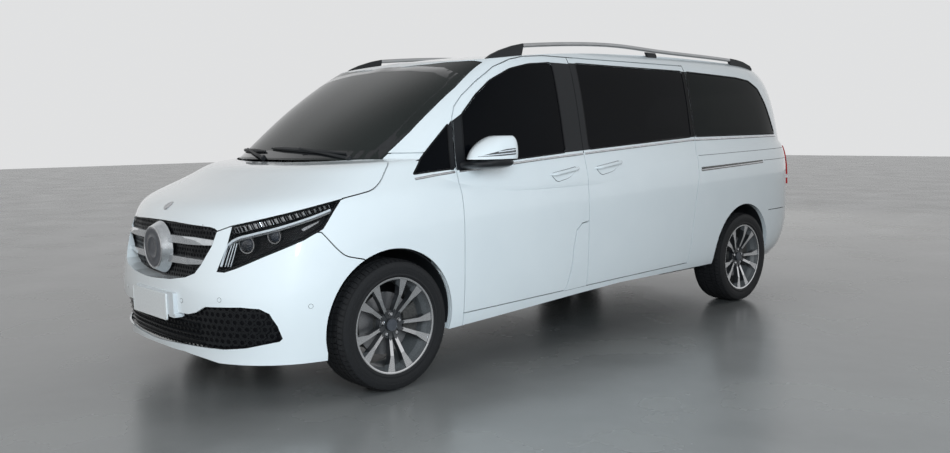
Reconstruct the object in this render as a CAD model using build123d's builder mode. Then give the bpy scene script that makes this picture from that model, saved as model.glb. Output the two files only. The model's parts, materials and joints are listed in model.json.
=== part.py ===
from build123d import *
import math
import os

# A long-wheelbase minivan in millimetres. The front points along -Y, the car's left side is +X,
# +Z is up, and the origin is on the ground, in the middle of the car's length and width.

# ---- driving dimensions -------------------------------------------------------------------
WHEELBASE = 3430.0
FRONT_AXLE_Y = -1790.0
REAR_AXLE_Y = FRONT_AXLE_Y + WHEELBASE
FRONT_WHEEL_X = 833.0
REAR_WHEEL_X = 823.0
TYRE_RADIUS = 345.0
TYRE_WIDTH = 245.0
RIM_RADIUS = 257.0
SPOKE_PAIRS = 5
DISC_RADIUS = 165.0
DISC_THICKNESS = 24.0
FRONT_ARCH = (-1797.0, 360.0, 390.0)
REAR_ARCH = (1618.0, 365.0, 400.0)
LINER = 5.0

MID_Y = -200.0
SECTION_TILT = 0.045
SKIN = 24.0
PANEL = 10.0
WALL = 95.0
PILLAR = 58.0
ROOF_THICKNESS = 46.0
GAP = 6.0
DOOR_STEP = 24.0
FRAME_STEP = 10.0
GLASS_DEPTH = 3.0
GLASS_THICKNESS = 5.0
FLOOR_Z = 430.0
DOOR_TOP_Z = 1797.0
FRONT_DOOR_Y = -1316.0
PILLAR_B_Y = -256.0
SLIDING_REAR_Y = 965.0
BONNET_REAR_Y = -1674.0
REAR_BUMPER_Y = 1990.0
BUMPER_TOP_Z = 690.0
TAILGATE_Y = 2330.0
TAILGATE_SIDE_X = 800.0
GRILLE_Y = -2612.0
HUB_Z = 758.0
HUB_RADIUS = 113.0

# plan sections of the lower body: height, half width, nose y, nose n and m, tail y
LOWER_BODY = [
    (180, 860, -2560, 2.3, 8.5, 2560),
    (262, 905, -2676, 2.4, 11.0, 2620),
    (320, 930, -2655, 2.4, 10.0, 2640),
    (450, 950, -2668, 2.4, 9.5, 2680),
    (620, 960, -2685, 2.4, 9.5, 2685),
    (800, 964, -2668, 2.3, 8.8, 2668),
    (990, 958, -2615, 2.25, 8.5, 2650),
    (1087, 938, -2556, 2.2, 8.5, 2630),
    (1150, 905, -2410, 2.2, 9.0, 2600),
    (1215, 868, -2235, 2.2, 9.5, 2560),
    (1265, 835, -2080, 2.2, 9.5, 2520),
    (1310, 790, -1930, 2.2, 9.0, 2480),
]
# plan sections of the cabin: height, half width, screen y, screen n and m, tail y
CABIN = [
    (1000, 956, -2160, 2.5, 5.0, 2640),
    (1110, 940, -2060, 2.5, 5.0, 2630),
    (1220, 912, -1922, 2.5, 5.2, 2618),
    (1380, 882, -1706, 2.5, 6.2, 2602),
    (1560, 847, -1428, 2.5, 8.0, 2570),
    (1700, 813, -1180, 2.5, 9.5, 2510),
    (1780, 781, -1020, 2.5, 10.0, 2440),
    (1835, 735, -900, 2.5, 9.0, 2370),
    (1900, 640, -760, 2.5, 8.0, 2250),
]
# crown of the roof: y, height on the centreline
ROOF_LINE = [(-2400, 1600), (-1040, 1772), (-560, 1832), (0, 1868), (700, 1888), (1400, 1888),
             (2100, 1868), (2500, 1838)]
ROOF_DROP = 52.0
NOSE_ANGLES = (0, 14, 28, 42, 55, 66, 76, 84)
TAIL_POWER = (3.0, 15.0)

# panel edges on the car's side, as (y, z)
A_PILLAR_EDGE = [(FRONT_DOOR_Y, 1130), (-1272, 1420), (-1243, 1478), (-1182, 1538), (-1067, 1621),
                 (-914, 1713), (-777, 1761), (-664, 1783), (-480, DOOR_TOP_Z)]
FLAP_EDGE = [(-262, 778), (-330, 768), (-380, 729), (-405, 629), (-416, 522), (-445, 418), (-469, 361)]
DOOR_FRONT = [(FRONT_DOOR_Y, 345)] + A_PILLAR_EDGE
DOOR_FULL = DOOR_FRONT + [(PILLAR_B_Y - GAP, DOOR_TOP_Z), (PILLAR_B_Y - GAP, 364)]
DOOR_WITH_FLAP = DOOR_FRONT + [(PILLAR_B_Y - GAP, DOOR_TOP_Z)] + FLAP_EDGE
SLIDING = [(PILLAR_B_Y, 364), (PILLAR_B_Y, DOOR_TOP_Z), (SLIDING_REAR_Y + 45, DOOR_TOP_Z),
           (SLIDING_REAR_Y + 25, 1228), (SLIDING_REAR_Y, 1010), (918, 798), (896, 583), (868, 387)]
FUEL_FLAP = [(PILLAR_B_Y - GAP, 770)] + [(y + 8, z - 6) for y, z in FLAP_EDGE[1:]]
FUEL_FLAP += [(PILLAR_B_Y - GAP, 362)]
FRONT_WINDOW = [(-1245, 1158), (-1213, 1432), (-1093, 1545), (-971, 1630), (-802, 1702), (-640, 1736),
                (-430, 1754), (-430, 1212)]
SLIDING_WINDOW = [(-196, 1226), (-196, 1760), (972, 1754), (955, 1290)]
QUARTER_WINDOW = [(1012, 1292), (1030, 1753), (1715, 1733), (1900, 1714), (2028, 1656), (2115, 1536),
                  (2216, 1302)]
CORNER_WINDOW = [(-1588, 1121), (-1312, 1376), (-1352, 1142)]
WING = [(-2400, 1226), (-2400, 870), (-2182, 864), (-2121, 784), (-2075, 739), (-1972, 714),
        (-1940, 690), (-1940, 240), (FRONT_DOOR_Y - GAP, 240), (FRONT_DOOR_Y - GAP, 1130),
        (-1307, 1226)]
WING_BENDS = [10, 10, 10, 300, 100, 70, 10, 10, 10, 10, 10]
SILL_EDGE = [(-1700, 100), (-1700, 262), (-1416, 267), (-307, 320), (96, 337), (2700, 340), (2700, 100)]

# panel edges seen from the front, as (x, z)
SCREEN_SIDE = [(-40, 1190), (722, 1190), (728, 1235), (744, 1341), (754, 1467), (757, 1590), (742, 1700),
               (732, 1850), (-40, 1850)]
GRILLE = [(-40, 908), (160, 906), (454, 894), (490, 888), (508, 870), (501, 799), (457, 705), (422, 661),
          (357, 637), (228, 617), (40, 607), (-40, 606)]
INTAKE = [(-40, 455), (386, 457), (443, 471), (506, 505), (691, 514), (763, 507), (794, 483), (812, 420),
          (817, 356), (806, 341), (686, 308), (577, 294), (334, 290), (40, 277), (-40, 276)]
BUMPER_EDGE = [(0, 100), (0, 252), (300, 250), (450, 236), (540, 222), (1100, 222), (1100, 100)]
REAR_WINDOW = [(-40, 1290), (684, 1290), (668, 1450), (604, 1640), (545, 1712), (-40, 1722)]
UPPER_BAR = [(0, 833), (370, 834), (520, 825), (520, 802), (370, 796), (0, 793)]
LOWER_BAR = [(0, 728), (300, 727), (480, 724), (480, 706), (300, 693), (0, 688)]
BONNET_LIP = [(0, 902), (160, 900), (454, 888), (490, 882), (508, 872), (581, 900), (581, 1500), (0, 1500)]
# the front edge of the roof and the top of the windscreen, as (x, y)
SCREEN_TOP = [(-40, -1094), (60, -1093), (404, -1064), (600, -1015), (732, -952), (820, -925), (820, -2300),
              (-40, -2300)]
# edges around the lamps: distance along the lamp's plane, height
LAMP_ANGLE = 60.0
LAMP = [(-1871, 900), (-1341, 1017), (-1383, 961), (-1440, 876), (-1537, 825), (-1720, 755),
        (-1859, 696), (-1918, 675), (-1955, 677), (-1900, 803)]
BONNET_LAMP = [(-1871, 900), (-1341, 1017), (-1341, 1500), (-1871, 1500)]
BONNET_SIDE = [(-2060, 1016), (-2040, 1021), (-1875, 1052), (-1808, 1091), (-1740, 1156),
               (BONNET_REAR_Y, 1216), (BONNET_REAR_Y, 1500), (-2060, 1500)]
BONNET_SIDE_BENDS = [5, 5, 200, 290, 200, 90, 20, 20]


# ---- helpers ------------------------------------------------------------------------------
def section_points(half_width, nose_y, nose_n, nose_m, tail_y):
    points = []
    for angle in NOSE_ANGLES:
        s, c = math.sin(math.radians(angle)), math.cos(math.radians(angle))
        y = MID_Y + (nose_y - MID_Y) * c ** (2 / nose_m)
        points.append((half_width * s ** (2 / nose_n), y))
    points.append((half_width, MID_Y))
    for angle in reversed(NOSE_ANGLES):
        s, c = math.sin(math.radians(angle)), math.cos(math.radians(angle))
        y = MID_Y + (tail_y - MID_Y) * c ** (2 / TAIL_POWER[1])
        points.append((half_width * s ** (2 / TAIL_POWER[0]), y))
    return points


def inset_points(points, inset):
    moved = []
    last = len(points) - 1
    for i, (x, y) in enumerate(points):
        x0, y0 = points[max(i - 1, 0)]
        x1, y1 = points[min(i + 1, last)]
        along = (x1 - x0, y1 - y0)
        if i == 0:
            along = (1.0, 0.0)
        if i == last:
            along = (-1.0, 0.0)
        size = math.hypot(*along)
        moved.append((x - inset * along[1] / size, y + inset * along[0] / size))
    return moved


def chord_parameters(points):
    total = [0.0]
    for (x0, y0), (x1, y1) in zip(points, points[1:]):
        total.append(total[-1] + math.hypot(x1 - x0, y1 - y0))
    return [length / total[-1] for length in total]


def stacked_volume(sections, tilt, inset):
    slope = math.atan(tilt)
    shared = chord_parameters(section_points(*sections[len(sections) // 2][1:]))
    with BuildPart() as volume:
        for height, *shape in sections:
            plane = Plane(origin=(0, 0, height), z_dir=(0, -math.sin(slope), math.cos(slope)), x_dir=(1, 0, 0))
            with BuildSketch(plane):
                with BuildLine():
                    points = inset_points(section_points(*shape), inset)
                    points = [Vector(x, y / math.cos(slope)) for x, y in points]
                    curve = Edge.make_spline(points, tangents=[Vector(1, 0), Vector(-1, 0)], parameters=shared)
                    add(curve)
                    Line(curve @ 1, curve @ 0)
                make_face()
        loft()
    return volume.part


def roof_block(drop):
    with BuildPart() as crown_block:
        for y, height in ROOF_LINE:
            with BuildSketch(Plane(origin=(0, y, 0), z_dir=(0, 1, 0), x_dir=(-1, 0, 0))):
                with BuildLine():
                    top = height - drop
                    crown = ThreePointArc((0, top), (-500, top - ROOF_DROP * 0.25),
                                          (-1000, top - ROOF_DROP))
                    Polyline(crown @ 1, (-1000, 700), (0, 700), crown @ 0)
                make_face()
        loft()
    return crown_block.part


def body_volume(inset, pillar_inset, drop):
    lower = stacked_volume(LOWER_BODY, SECTION_TILT, inset)
    cabin = stacked_volume(CABIN, 0.0, pillar_inset) & roof_block(drop)
    return lower + cabin


def prism(plane, points, depth, growth=0.0, radius=0.0):
    with BuildPart() as solid:
        with BuildSketch(plane):
            with BuildLine():
                if radius:
                    FilletPolyline(*points, radius=radius, close=True)
                else:
                    Polyline(*points, close=True)
            make_face()
            if growth:
                offset(amount=growth, kind=Kind.INTERSECTION)
        extrude(amount=depth)
    return solid.part


def side_prism(points, growth=0.0, x0=692.0, x1=1100.0, radius=0.0):
    return prism(Plane.YZ.offset(x0), points, x1 - x0, growth, radius)


def front_prism(points, growth=0.0, y0=-2800.0, y1=-2300.0, radius=0.0):
    return prism(Plane.XZ.offset(-y1), points, y1 - y0, growth, radius)


def plan_prism(points, growth=0.0, z0=1100.0, z1=1950.0):
    return prism(Plane.XY.offset(z0), points, z1 - z0, growth)


def lamp_prism(points, growth=0.0, radius=0.0):
    turn = math.radians(LAMP_ANGLE)
    plane = Plane(origin=(0, 0, 0), x_dir=(math.cos(turn), math.sin(turn), 0),
                  z_dir=(math.sin(turn), -math.cos(turn), 0))
    return prism(plane, points, 3200, growth, radius)


def block(x, y, z):
    size = (x[1] - x[0], y[1] - y[0], z[1] - z[0])
    middle = (sum(x) / 2, sum(y) / 2, sum(z) / 2)
    return Pos(*middle) * Box(*size)


def rod(start, end, radius):
    line = Vector(*end) - Vector(*start)
    with BuildPart() as bar:
        with BuildSketch(Plane(origin=start, z_dir=line)):
            Circle(radius)
        extrude(amount=line.length)
    return bar.part


def pad(x, y, z, radius, lean=0.0):
    with BuildPart() as soft:
        Box(x[1] - x[0], y[1] - y[0], z[1] - z[0])
        fillet(soft.edges(), radius)
    return Pos(sum(x) / 2, sum(y) / 2, sum(z) / 2) * Rot(lean, 0, 0) * soft.part


def both_sides(part):
    return Part(children=[]) + part + mirror(part, about=Plane.YZ)


def biggest(part):
    return Part() + max(part.solids(), key=lambda solid: solid.volume)


def save(part, name):
    part.label = name
    export_step(part, f"parts/{name}.step")


def save_pair(part, name):
    save(part, f"{name}_left")
    save(mirror(part, about=Plane.YZ), f"{name}_right")


os.makedirs("parts", exist_ok=True)

# ---- the body's outer form and the surfaces below it, as left halves --------------------------
outer = body_volume(0.0, 0.0, 0.0)
under_lens = body_volume(5.0, 5.0, 5.0)
under_panel = body_volume(PANEL, PANEL, PANEL)
under_panel_gap = body_volume(PANEL + GAP, PANEL + GAP, PANEL + GAP)
under_skin = body_volume(SKIN, SKIN, SKIN)
under_gap = body_volume(SKIN + GAP, SKIN + GAP, SKIN + GAP)
lamp_floor = body_volume(72.0, 58.0, 46.0)
inside = body_volume(WALL, PILLAR, ROOF_THICKNESS)
cabin_space = body_volume(WALL + 5, PILLAR + 5, ROOF_THICKNESS + 5)
glass_outside = stacked_volume(CABIN, 0.0, GLASS_DEPTH) & roof_block(GLASS_DEPTH)
glass_inside = stacked_volume(CABIN, 0.0, GLASS_DEPTH + GLASS_THICKNESS) & roof_block(20)


def shell(region):
    return (region & outer) - inside


def arch(place, x0, shrink=0.0):
    y, z, radius = place
    with BuildPart() as cut:
        with BuildSketch(Plane.YZ.offset(x0)):
            with Locations((y, z)):
                Circle(radius - shrink)
            with Locations((y, z - radius)):
                Rectangle(1.93 * (radius - shrink), 2 * radius)
        extrude(amount=1100 - x0)
    return cut.part


front_arch = arch(FRONT_ARCH, 470)
rear_arch = arch(REAR_ARCH, 640)
screen_space = front_prism(SCREEN_SIDE, 0, -2300, -900) & plan_prism(SCREEN_TOP)
bonnet_space = front_prism(BONNET_LIP, 0, -2900, BONNET_REAR_Y) + lamp_prism(BONNET_LAMP)
bonnet_space = bonnet_space & block((0, 1100), (-2900, BONNET_REAR_Y), (850, 1500))
bonnet_space += side_prism(BONNET_SIDE, 0, 0, 1100, BONNET_SIDE_BENDS)
bonnet_gap = front_prism(BONNET_LIP, GAP, -2900, BONNET_REAR_Y + GAP) + lamp_prism(BONNET_LAMP, GAP)
bonnet_gap = bonnet_gap & block((0, 1100), (-2900, BONNET_REAR_Y + GAP), (850, 1500))
bonnet_gap += side_prism(BONNET_SIDE, GAP, 0, 1100, BONNET_SIDE_BENDS)

# ---- side frames: sills, pillars, cant rails and rear quarters in one pressing ----------------
def door(outline, window):
    skin = (side_prism(outline) & outer) - under_skin
    box = (side_prism(outline, -DOOR_STEP) & under_skin) - inside
    return skin + box - side_prism(window, 0, 692, 1100, 22)


def door_opening(outline):
    wide = side_prism(outline, GAP) - under_gap
    return wide + side_prism(outline, -FRAME_STEP)


frame_region = side_prism([(-1700, 1850), (-1700, 1040), (-1480, 980), (-1480, 250), (2560, 250),
                           (2560, 1850)])
frame = shell(frame_region)
frame -= side_prism(SILL_EDGE)
frame -= side_prism(WING, GAP, radius=WING_BENDS) - under_panel_gap
frame -= bonnet_gap
frame -= screen_space
frame -= front_arch
frame -= rear_arch
frame -= door_opening(SLIDING)
frame -= side_prism(QUARTER_WINDOW, 0, 692, 1100, 22)
frame -= side_prism(CORNER_WINDOW)
frame -= block((0, 1100), (REAR_BUMPER_Y, 2700), (200, BUMPER_TOP_Z + GAP))
frame -= block((0, TAILGATE_SIDE_X + GAP), (TAILGATE_Y - GAP, 2800), (500, 2000))
tail_lamp_space = block((TAILGATE_SIDE_X + GAP, 1100), (2440, 2800), (880, 1250))
tail_lamp = (tail_lamp_space & outer) - under_gap
frame -= tail_lamp
save(both_sides(tail_lamp), "tail_lamps")
flap_hole = side_prism(FUEL_FLAP, GAP / 2) - under_gap
save(biggest(frame - door_opening(DOOR_WITH_FLAP) - flap_hole), "side_frame_left")
save(mirror(biggest(frame - door_opening(DOOR_FULL)), about=Plane.YZ), "side_frame_right")

# ---- front doors, sliding doors, fuel flap ------------------------------------------------------
save(door(DOOR_WITH_FLAP, FRONT_WINDOW), "front_door_left")
save(mirror(door(DOOR_FULL, FRONT_WINDOW), about=Plane.YZ), "front_door_right")
save_pair(door(SLIDING, SLIDING_WINDOW), "sliding_door")
save((side_prism(FUEL_FLAP) & outer) - under_skin, "fuel_flap")

# ---- glass ------------------------------------------------------------------------------------
def pane(outline, radius=0.0):
    with BuildPart() as sheet:
        add(side_prism(outline, -1.0, 692, 1100, radius))
        add(glass_outside, mode=Mode.INTERSECT)
        add(glass_inside, mode=Mode.SUBTRACT)
    return biggest(sheet.part)


save_pair(pane(FRONT_WINDOW, 22), "front_glass")
fixed_glass = pane(SLIDING_WINDOW, 22) + pane(QUARTER_WINDOW, 22) + pane(CORNER_WINDOW)
save(both_sides(fixed_glass), "side_glass")
screen = front_prism(SCREEN_SIDE, -2, -2300, -900) & plan_prism(SCREEN_TOP, -2)
screen = (screen & block((0, 800), (-2300, -900), (1196, 1800)) & glass_outside) - glass_inside
save(both_sides(biggest(screen)), "windscreen")

# ---- roof and tailgate ----------------------------------------------------------------------------
roof = shell(block((0, 686), (-1200, TAILGATE_Y - GAP), (1700, 1950)))
save(both_sides(biggest(roof - plan_prism(SCREEN_TOP, 2))), "roof_panel")

gate_space = block((0, TAILGATE_SIDE_X), (TAILGATE_Y, 2800), (BUMPER_TOP_Z - 90, 2000))
rear_opening = front_prism(REAR_WINDOW, 0, 2200, 2800, 30)
save(both_sides(biggest(shell(gate_space) - rear_opening)), "tailgate")
rear_pane = (front_prism(REAR_WINDOW, -1, 2336, 2800, 30) & glass_outside) - glass_inside
save(both_sides(biggest(rear_pane)), "rear_window")

# ---- bonnet, wings, bumpers ---------------------------------------------------------------------
bonnet = (bonnet_space & outer) - under_skin - stacked_volume(CABIN, 0.0, -8.0)
save(both_sides(biggest(bonnet)), "bonnet")

wing = (side_prism(WING, 0, 560, 1100, WING_BENDS) & outer) - under_panel
wing = wing - bonnet_gap - front_arch - lamp_prism(LAMP) - side_prism(CORNER_WINDOW)
wing = wing - side_prism(SILL_EDGE) - front_prism(SCREEN_SIDE, 4, -2300, -900)
save(both_sides(biggest(wing)), "front_wings")

lamp_box = block((500, 1100), (-2800, -2000), (600, 1100))
front_bumper = (block((0, 1100), (-2800, -1945), (190, 1010)) & outer) - under_panel
grille_lip = (front_prism(GRILLE, 14) - front_prism(GRILLE)) & outer
front_bumper += grille_lip - block((0, 700), (-2560, 0), (0, 1200))
front_bumper = front_bumper - bonnet_gap - side_prism(WING, GAP, 560, 1100, WING_BENDS) - front_arch
front_bumper = front_bumper - front_prism(GRILLE) - front_prism(INTAKE, 0, -2800, -2200)
front_bumper = front_bumper - front_prism(BUMPER_EDGE, 0, -2800, -1700)
front_bumper -= lamp_prism(LAMP) & lamp_box
save(both_sides(biggest(front_bumper)), "front_bumper")

rear_bumper = shell(block((0, 1100), (REAR_BUMPER_Y, 2800), (300, BUMPER_TOP_Z)))
rear_bumper -= block((0, TAILGATE_SIDE_X + GAP), (TAILGATE_Y - GAP, 2800), (BUMPER_TOP_Z - 90 - GAP, 2000))
rear_bumper -= rear_arch
save(both_sides(biggest(rear_bumper)), "rear_bumper")

# ---- headlamps: a clear lens over an open housing -------------------------------------------------
lamp_region = (lamp_prism(LAMP, -2) & lamp_box) - bonnet_gap
lens = (lamp_region & outer) - under_lens
save(both_sides(biggest(lens)), "headlamps")
lamp_hollow = (lamp_prism(LAMP, -10) & lamp_box) - lamp_floor
lamp_bowl = (lamp_region & under_panel) - inside - lamp_hollow
save(both_sides(biggest(lamp_bowl)), "lamp_housings")

# ---- grille: mesh plate, two bars and the round hub; mesh in the lower intake ---------------------
GRILLE_CURVE = [(0, GRILLE_Y), (300, GRILLE_Y + 18), (540, GRILLE_Y + 58)]


def grille_sheet(y0, y1):
    front = [(x, y + y0) for x, y in GRILLE_CURVE]
    back = [(x, y + y1) for x, y in reversed(GRILLE_CURVE)]
    return plan_prism(front + back, 0, 560, 960)


grille_mesh = front_prism(GRILLE, -2) & grille_sheet(14, 24) & under_lens
save(both_sides(biggest(grille_mesh - bonnet_gap)), "radiator_grille")
bars = (front_prism(UPPER_BAR) + front_prism(LOWER_BAR)) & front_prism(GRILLE, -1) & grille_sheet(-16, 13)
with BuildPart() as hub:
    with BuildSketch(Plane.XZ.offset(-GRILLE_Y - 8)):
        with Locations((0, HUB_Z)):
            Circle(HUB_RADIUS + 25)
    with BuildSketch(Plane.XZ.offset(-GRILLE_Y + 38)):
        with Locations((0, HUB_Z)):
            Circle(HUB_RADIUS)
    loft()
save(both_sides(bars & outer) + hub.part, "grille_bars")
intake_mesh = (front_prism(INTAKE, -1, -2800, -2200) & under_gap) - body_volume(42, 42, 42)
save(both_sides(biggest(intake_mesh)), "bumper_grille")

# ---- floor, bulkhead, scuttle, wheel-arch liners ----------------------------------------------------
floor_pan = (block((0, 860), (-1290, 2500), (FLOOR_Z - 80, FLOOR_Z)) & cabin_space) - rear_arch
floor_pan += block((380, 450), (-2480, -1290), (400, 520)) + block((0, 500), (-2480, -2420), (400, 560))
for y in (-1090, 1040):
    floor_pan += Pos(700, y, FLOOR_Z - 86) * Cylinder(32, 12)
save(both_sides(floor_pan), "floor_pan")

bulkhead = (block((0, 830), (-1420, -1380), (FLOOR_Z + 95, 1140)) & cabin_space) - front_arch
save(both_sides(bulkhead), "bulkhead")

scuttle = block((0, 700), (-2100, -1690), (1110, 1300)) & stacked_volume(CABIN, 0.0, -70.0)
scuttle = (scuttle & under_gap) - stacked_volume(CABIN, 0.0, -2.0)
save(both_sides(biggest(scuttle)), "scuttle_panel")


def liner(place, x0):
    cover = arch(place, x0, 2) - arch(place, x0 + LINER, 2 + LINER)
    y, z, radius = place
    cover = cover & under_gap & block((x0, 1100), (y - radius, y + radius), (300, 900))
    return cover - block((x0 - 1, x0 + LINER + 1), (y - 150, y + 150), (150, 480))


front_liner = liner(FRONT_ARCH, 478)
rear_liner = liner(REAR_ARCH, 648)
save(both_sides(biggest(front_liner) + biggest(rear_liner)), "arch_liners")

# ---- roof rails: a bar on black feet -------------------------------------------------------------------
RAIL_X = 712.0
FRONT_FOOT = [(-945, 1690), (-938, 1747), (-860, 1793), (-788, 1822), (-680, 1854), (-596, 1871),
              (-596, 1844), (-640, 1700)]
MIDDLE_FOOT = [(676, 1800), (672, 1862), (655, 1884), (766, 1882), (780, 1862), (784, 1800)]
REAR_FOOT = [(1760, 1800), (1762, 1893), (1850, 1888), (1950, 1876), (2061, 1848), (2090, 1826), (2090, 1790)]
feet = side_prism(FRONT_FOOT, 0, RAIL_X - 11, RAIL_X + 11)
feet += side_prism(MIDDLE_FOOT, 0, RAIL_X - 9, RAIL_X + 9)
feet += side_prism(REAR_FOOT, 0, RAIL_X - 11, RAIL_X + 11)
save(both_sides(feet - outer), "rail_feet")
with BuildPart() as rail:
    with BuildLine(Plane.YZ.offset(RAIL_X)):
        rail_line = Spline((-594, 1859), (-115, 1896), (365, 1910), (744, 1899), (1344, 1889), (1758, 1880))
    with BuildSketch(Plane(origin=rail_line @ 0, z_dir=rail_line % 0)):
        RectangleRounded(26, 24, 9)
    sweep()
save(both_sides(rail.part - feet - outer), "roof_rails")

# ---- wheels --------------------------------------------------------------------------------------------
SPOKE = [(42, 3), (42, 19), (160, 47), (236, 86), (243, 82), (243, 38), (160, 25)]


def tyre_ring(x):
    half = TYRE_WIDTH / 2
    bead = RIM_RADIUS - 7
    with BuildPart() as ring:
        with BuildSketch(Plane.XY):
            with BuildLine():
                side = Spline((x + half - 15, bead), (x + half - 2, bead + 26), (x + half, 308),
                              (x + half - 16, TYRE_RADIUS - 9), (x + half - 46, TYRE_RADIUS))
                other = Spline((x - half + 46, TYRE_RADIUS), (x - half + 16, TYRE_RADIUS - 9),
                               (x - half, 308), (x - half + 2, bead + 26), (x - half + 15, bead))
                Line(side @ 1, other @ 0)
                Line(other @ 1, side @ 0)
            make_face()
        revolve(axis=Axis.X)
    return ring.part


def rim(x):
    face = x + TYRE_WIDTH / 2 - 12
    back = x - TYRE_WIDTH / 2 + 14
    with BuildPart() as spokes:
        with BuildSketch(Plane.YZ.offset(face - 80)):
            with PolarLocations(0, SPOKE_PAIRS, start_angle=-11):
                Polygon(*SPOKE, align=None)
                Polygon(*[(u, -v) for u, v in SPOKE], align=None)
        extrude(amount=80)
        with BuildSketch(Plane.XY, mode=Mode.PRIVATE) as dish:
            with BuildLine():
                Polyline((face - 44, 0), (face - 40, 60), (face - 16, 160), (face - 5, 246),
                         (face - 42, 246), (face - 52, 160), (face - 72, 60), (face - 72, 0), close=True)
            make_face()
        revolve(dish.sketch, axis=Axis.X, mode=Mode.INTERSECT)
    with BuildPart() as wheel:
        with BuildSketch(Plane.XY):
            with BuildLine():
                Polyline((back, RIM_RADIUS - 8), (back, 238), (back + 14, 236), (back + 44, 224),
                         (face - 60, 226), (face - 30, 238), (face - 5, 243), (face, 248),
                         (face, RIM_RADIUS), (face - 6, RIM_RADIUS), (face - 6, RIM_RADIUS - 8), close=True)
            make_face()
        revolve(axis=Axis.X)
        with BuildSketch(Plane.YZ.offset(face - 74)):
            Circle(74)
        extrude(amount=30)
        with BuildSketch(Plane.YZ.offset(face - 46)):
            Circle(34)
        extrude(amount=12)
        add(spokes.part)
        with BuildSketch(Plane.YZ.offset(face - 56)):
            with PolarLocations(56, SPOKE_PAIRS, start_angle=25):
                Circle(11)
        extrude(amount=40, mode=Mode.SUBTRACT)
    return wheel.part


def brake_disc(x):
    hub_face = x + TYRE_WIDTH / 2 - 12 - 76
    with BuildPart() as disc:
        with BuildSketch(Plane.YZ.offset(hub_face)):
            Circle(74)
        extrude(amount=-48)
        with BuildSketch(Plane.YZ.offset(hub_face - 48)):
            Circle(DISC_RADIUS)
        extrude(amount=DISC_THICKNESS)
    return disc.part


places = {"front": (FRONT_WHEEL_X, FRONT_AXLE_Y), "rear": (REAR_WHEEL_X, REAR_AXLE_Y)}
for end, (x, y) in places.items():
    centre = Pos(0, y, TYRE_RADIUS)
    save_pair(centre * (tyre_ring(x) - rim(x)), f"tyre_{end}")
    save_pair(centre * rim(x), f"rim_{end}")
    save_pair(centre * brake_disc(x), f"brake_disc_{end}")

# ---- knuckles and calipers, suspension, engine ----------------------------------------------------------
def caliper(x, y):
    disc_x = x + TYRE_WIDTH / 2 - 12 - 76 - 48
    with BuildPart() as clamp:
        with BuildSketch(Plane.YZ.offset(disc_x - 26)):
            Circle(206)
            Circle(116, mode=Mode.SUBTRACT)
            Polygon((0, 0), (300, 150), (300, -150), align=None, mode=Mode.INTERSECT)
        extrude(amount=DISC_THICKNESS + 46)
        with BuildSketch(Plane.YZ.offset(disc_x - 7)):
            Circle(DISC_RADIUS + 8)
        extrude(amount=DISC_THICKNESS + 14, mode=Mode.SUBTRACT)
    return Pos(0, y, TYRE_RADIUS) * clamp.part


DISC_INNER_X = FRONT_WHEEL_X + TYRE_WIDTH / 2 - 136
knuckle = block((DISC_INNER_X - 62, DISC_INNER_X - 8), (FRONT_AXLE_Y - 40, FRONT_AXLE_Y + 40), (215, 470))
knuckle += block((DISC_INNER_X - 50, DISC_INNER_X - 24), (FRONT_AXLE_Y, FRONT_AXLE_Y + 135), (310, 380))
knuckle += caliper(FRONT_WHEEL_X, FRONT_AXLE_Y)
save_pair(knuckle, "knuckle")

front_links = block((0, 400), (FRONT_AXLE_Y + 60, FRONT_AXLE_Y + 240), (190, 240))
front_links += block((330, 400), (FRONT_AXLE_Y - 170, FRONT_AXLE_Y + 240), (190, 240))
arm = [(380, FRONT_AXLE_Y - 130), (380, FRONT_AXLE_Y - 70), (620, FRONT_AXLE_Y + 4), (380, FRONT_AXLE_Y + 140),
       (380, FRONT_AXLE_Y + 200), (735, FRONT_AXLE_Y + 22), (735, FRONT_AXLE_Y - 22)]
front_links += prism(Plane.XY.offset(196), arm, 26)
front_links += rod((300, FRONT_AXLE_Y + 150, 300), (560, FRONT_AXLE_Y + 110, 300), 11)
front_links += block((280, 330), (FRONT_AXLE_Y + 130, FRONT_AXLE_Y + 170), (235, 320))
strut = rod((600, FRONT_AXLE_Y, 490), (600, FRONT_AXLE_Y, 738), 26)
strut += rod((600, FRONT_AXLE_Y, 560), (600, FRONT_AXLE_Y, 733), 44)
save(both_sides(front_links + strut), "front_suspension")

REAR_INNER_X = REAR_WHEEL_X + TYRE_WIDTH / 2 - 136
beam = block((0, REAR_INNER_X - 60), (REAR_AXLE_Y - 60, REAR_AXLE_Y + 60), (220, 300))
beam += block((REAR_INNER_X - 66, REAR_INNER_X - 8), (REAR_AXLE_Y - 50, REAR_AXLE_Y + 50), (215, 475))
beam += caliper(REAR_WHEEL_X, REAR_AXLE_Y)
beam += block((REAR_INNER_X - 50, REAR_INNER_X - 24), (REAR_AXLE_Y, REAR_AXLE_Y + 135), (310, 380))
beam += block((480, 560), (REAR_AXLE_Y - 560, REAR_AXLE_Y), (230, 290))
beam += rod((560, REAR_AXLE_Y + 20, 280), (560, REAR_AXLE_Y + 20, FLOOR_Z - 81), 50)
beam += block((480, 560), (REAR_AXLE_Y - 560, REAR_AXLE_Y - 480), (230, FLOOR_Z - 81))
save(both_sides(beam), "rear_suspension")

save(block((-330, 330), (-2330, -1560), (420, 900)) + block((-60, 60), (-2200, -1700), (245, 430)), "engine")
exhaust = rod((-300, -1400, 322), (-300, 1540, 322), 22) + block((-430, -170), (1850, 2250), (250, 346))
exhaust += rod((-300, 1534, 322), (-380, 1560, 322), 18) + rod((-300, 1720, 322), (-300, 1860, 322), 22)
save(biggest(exhaust), "exhaust")

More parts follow.
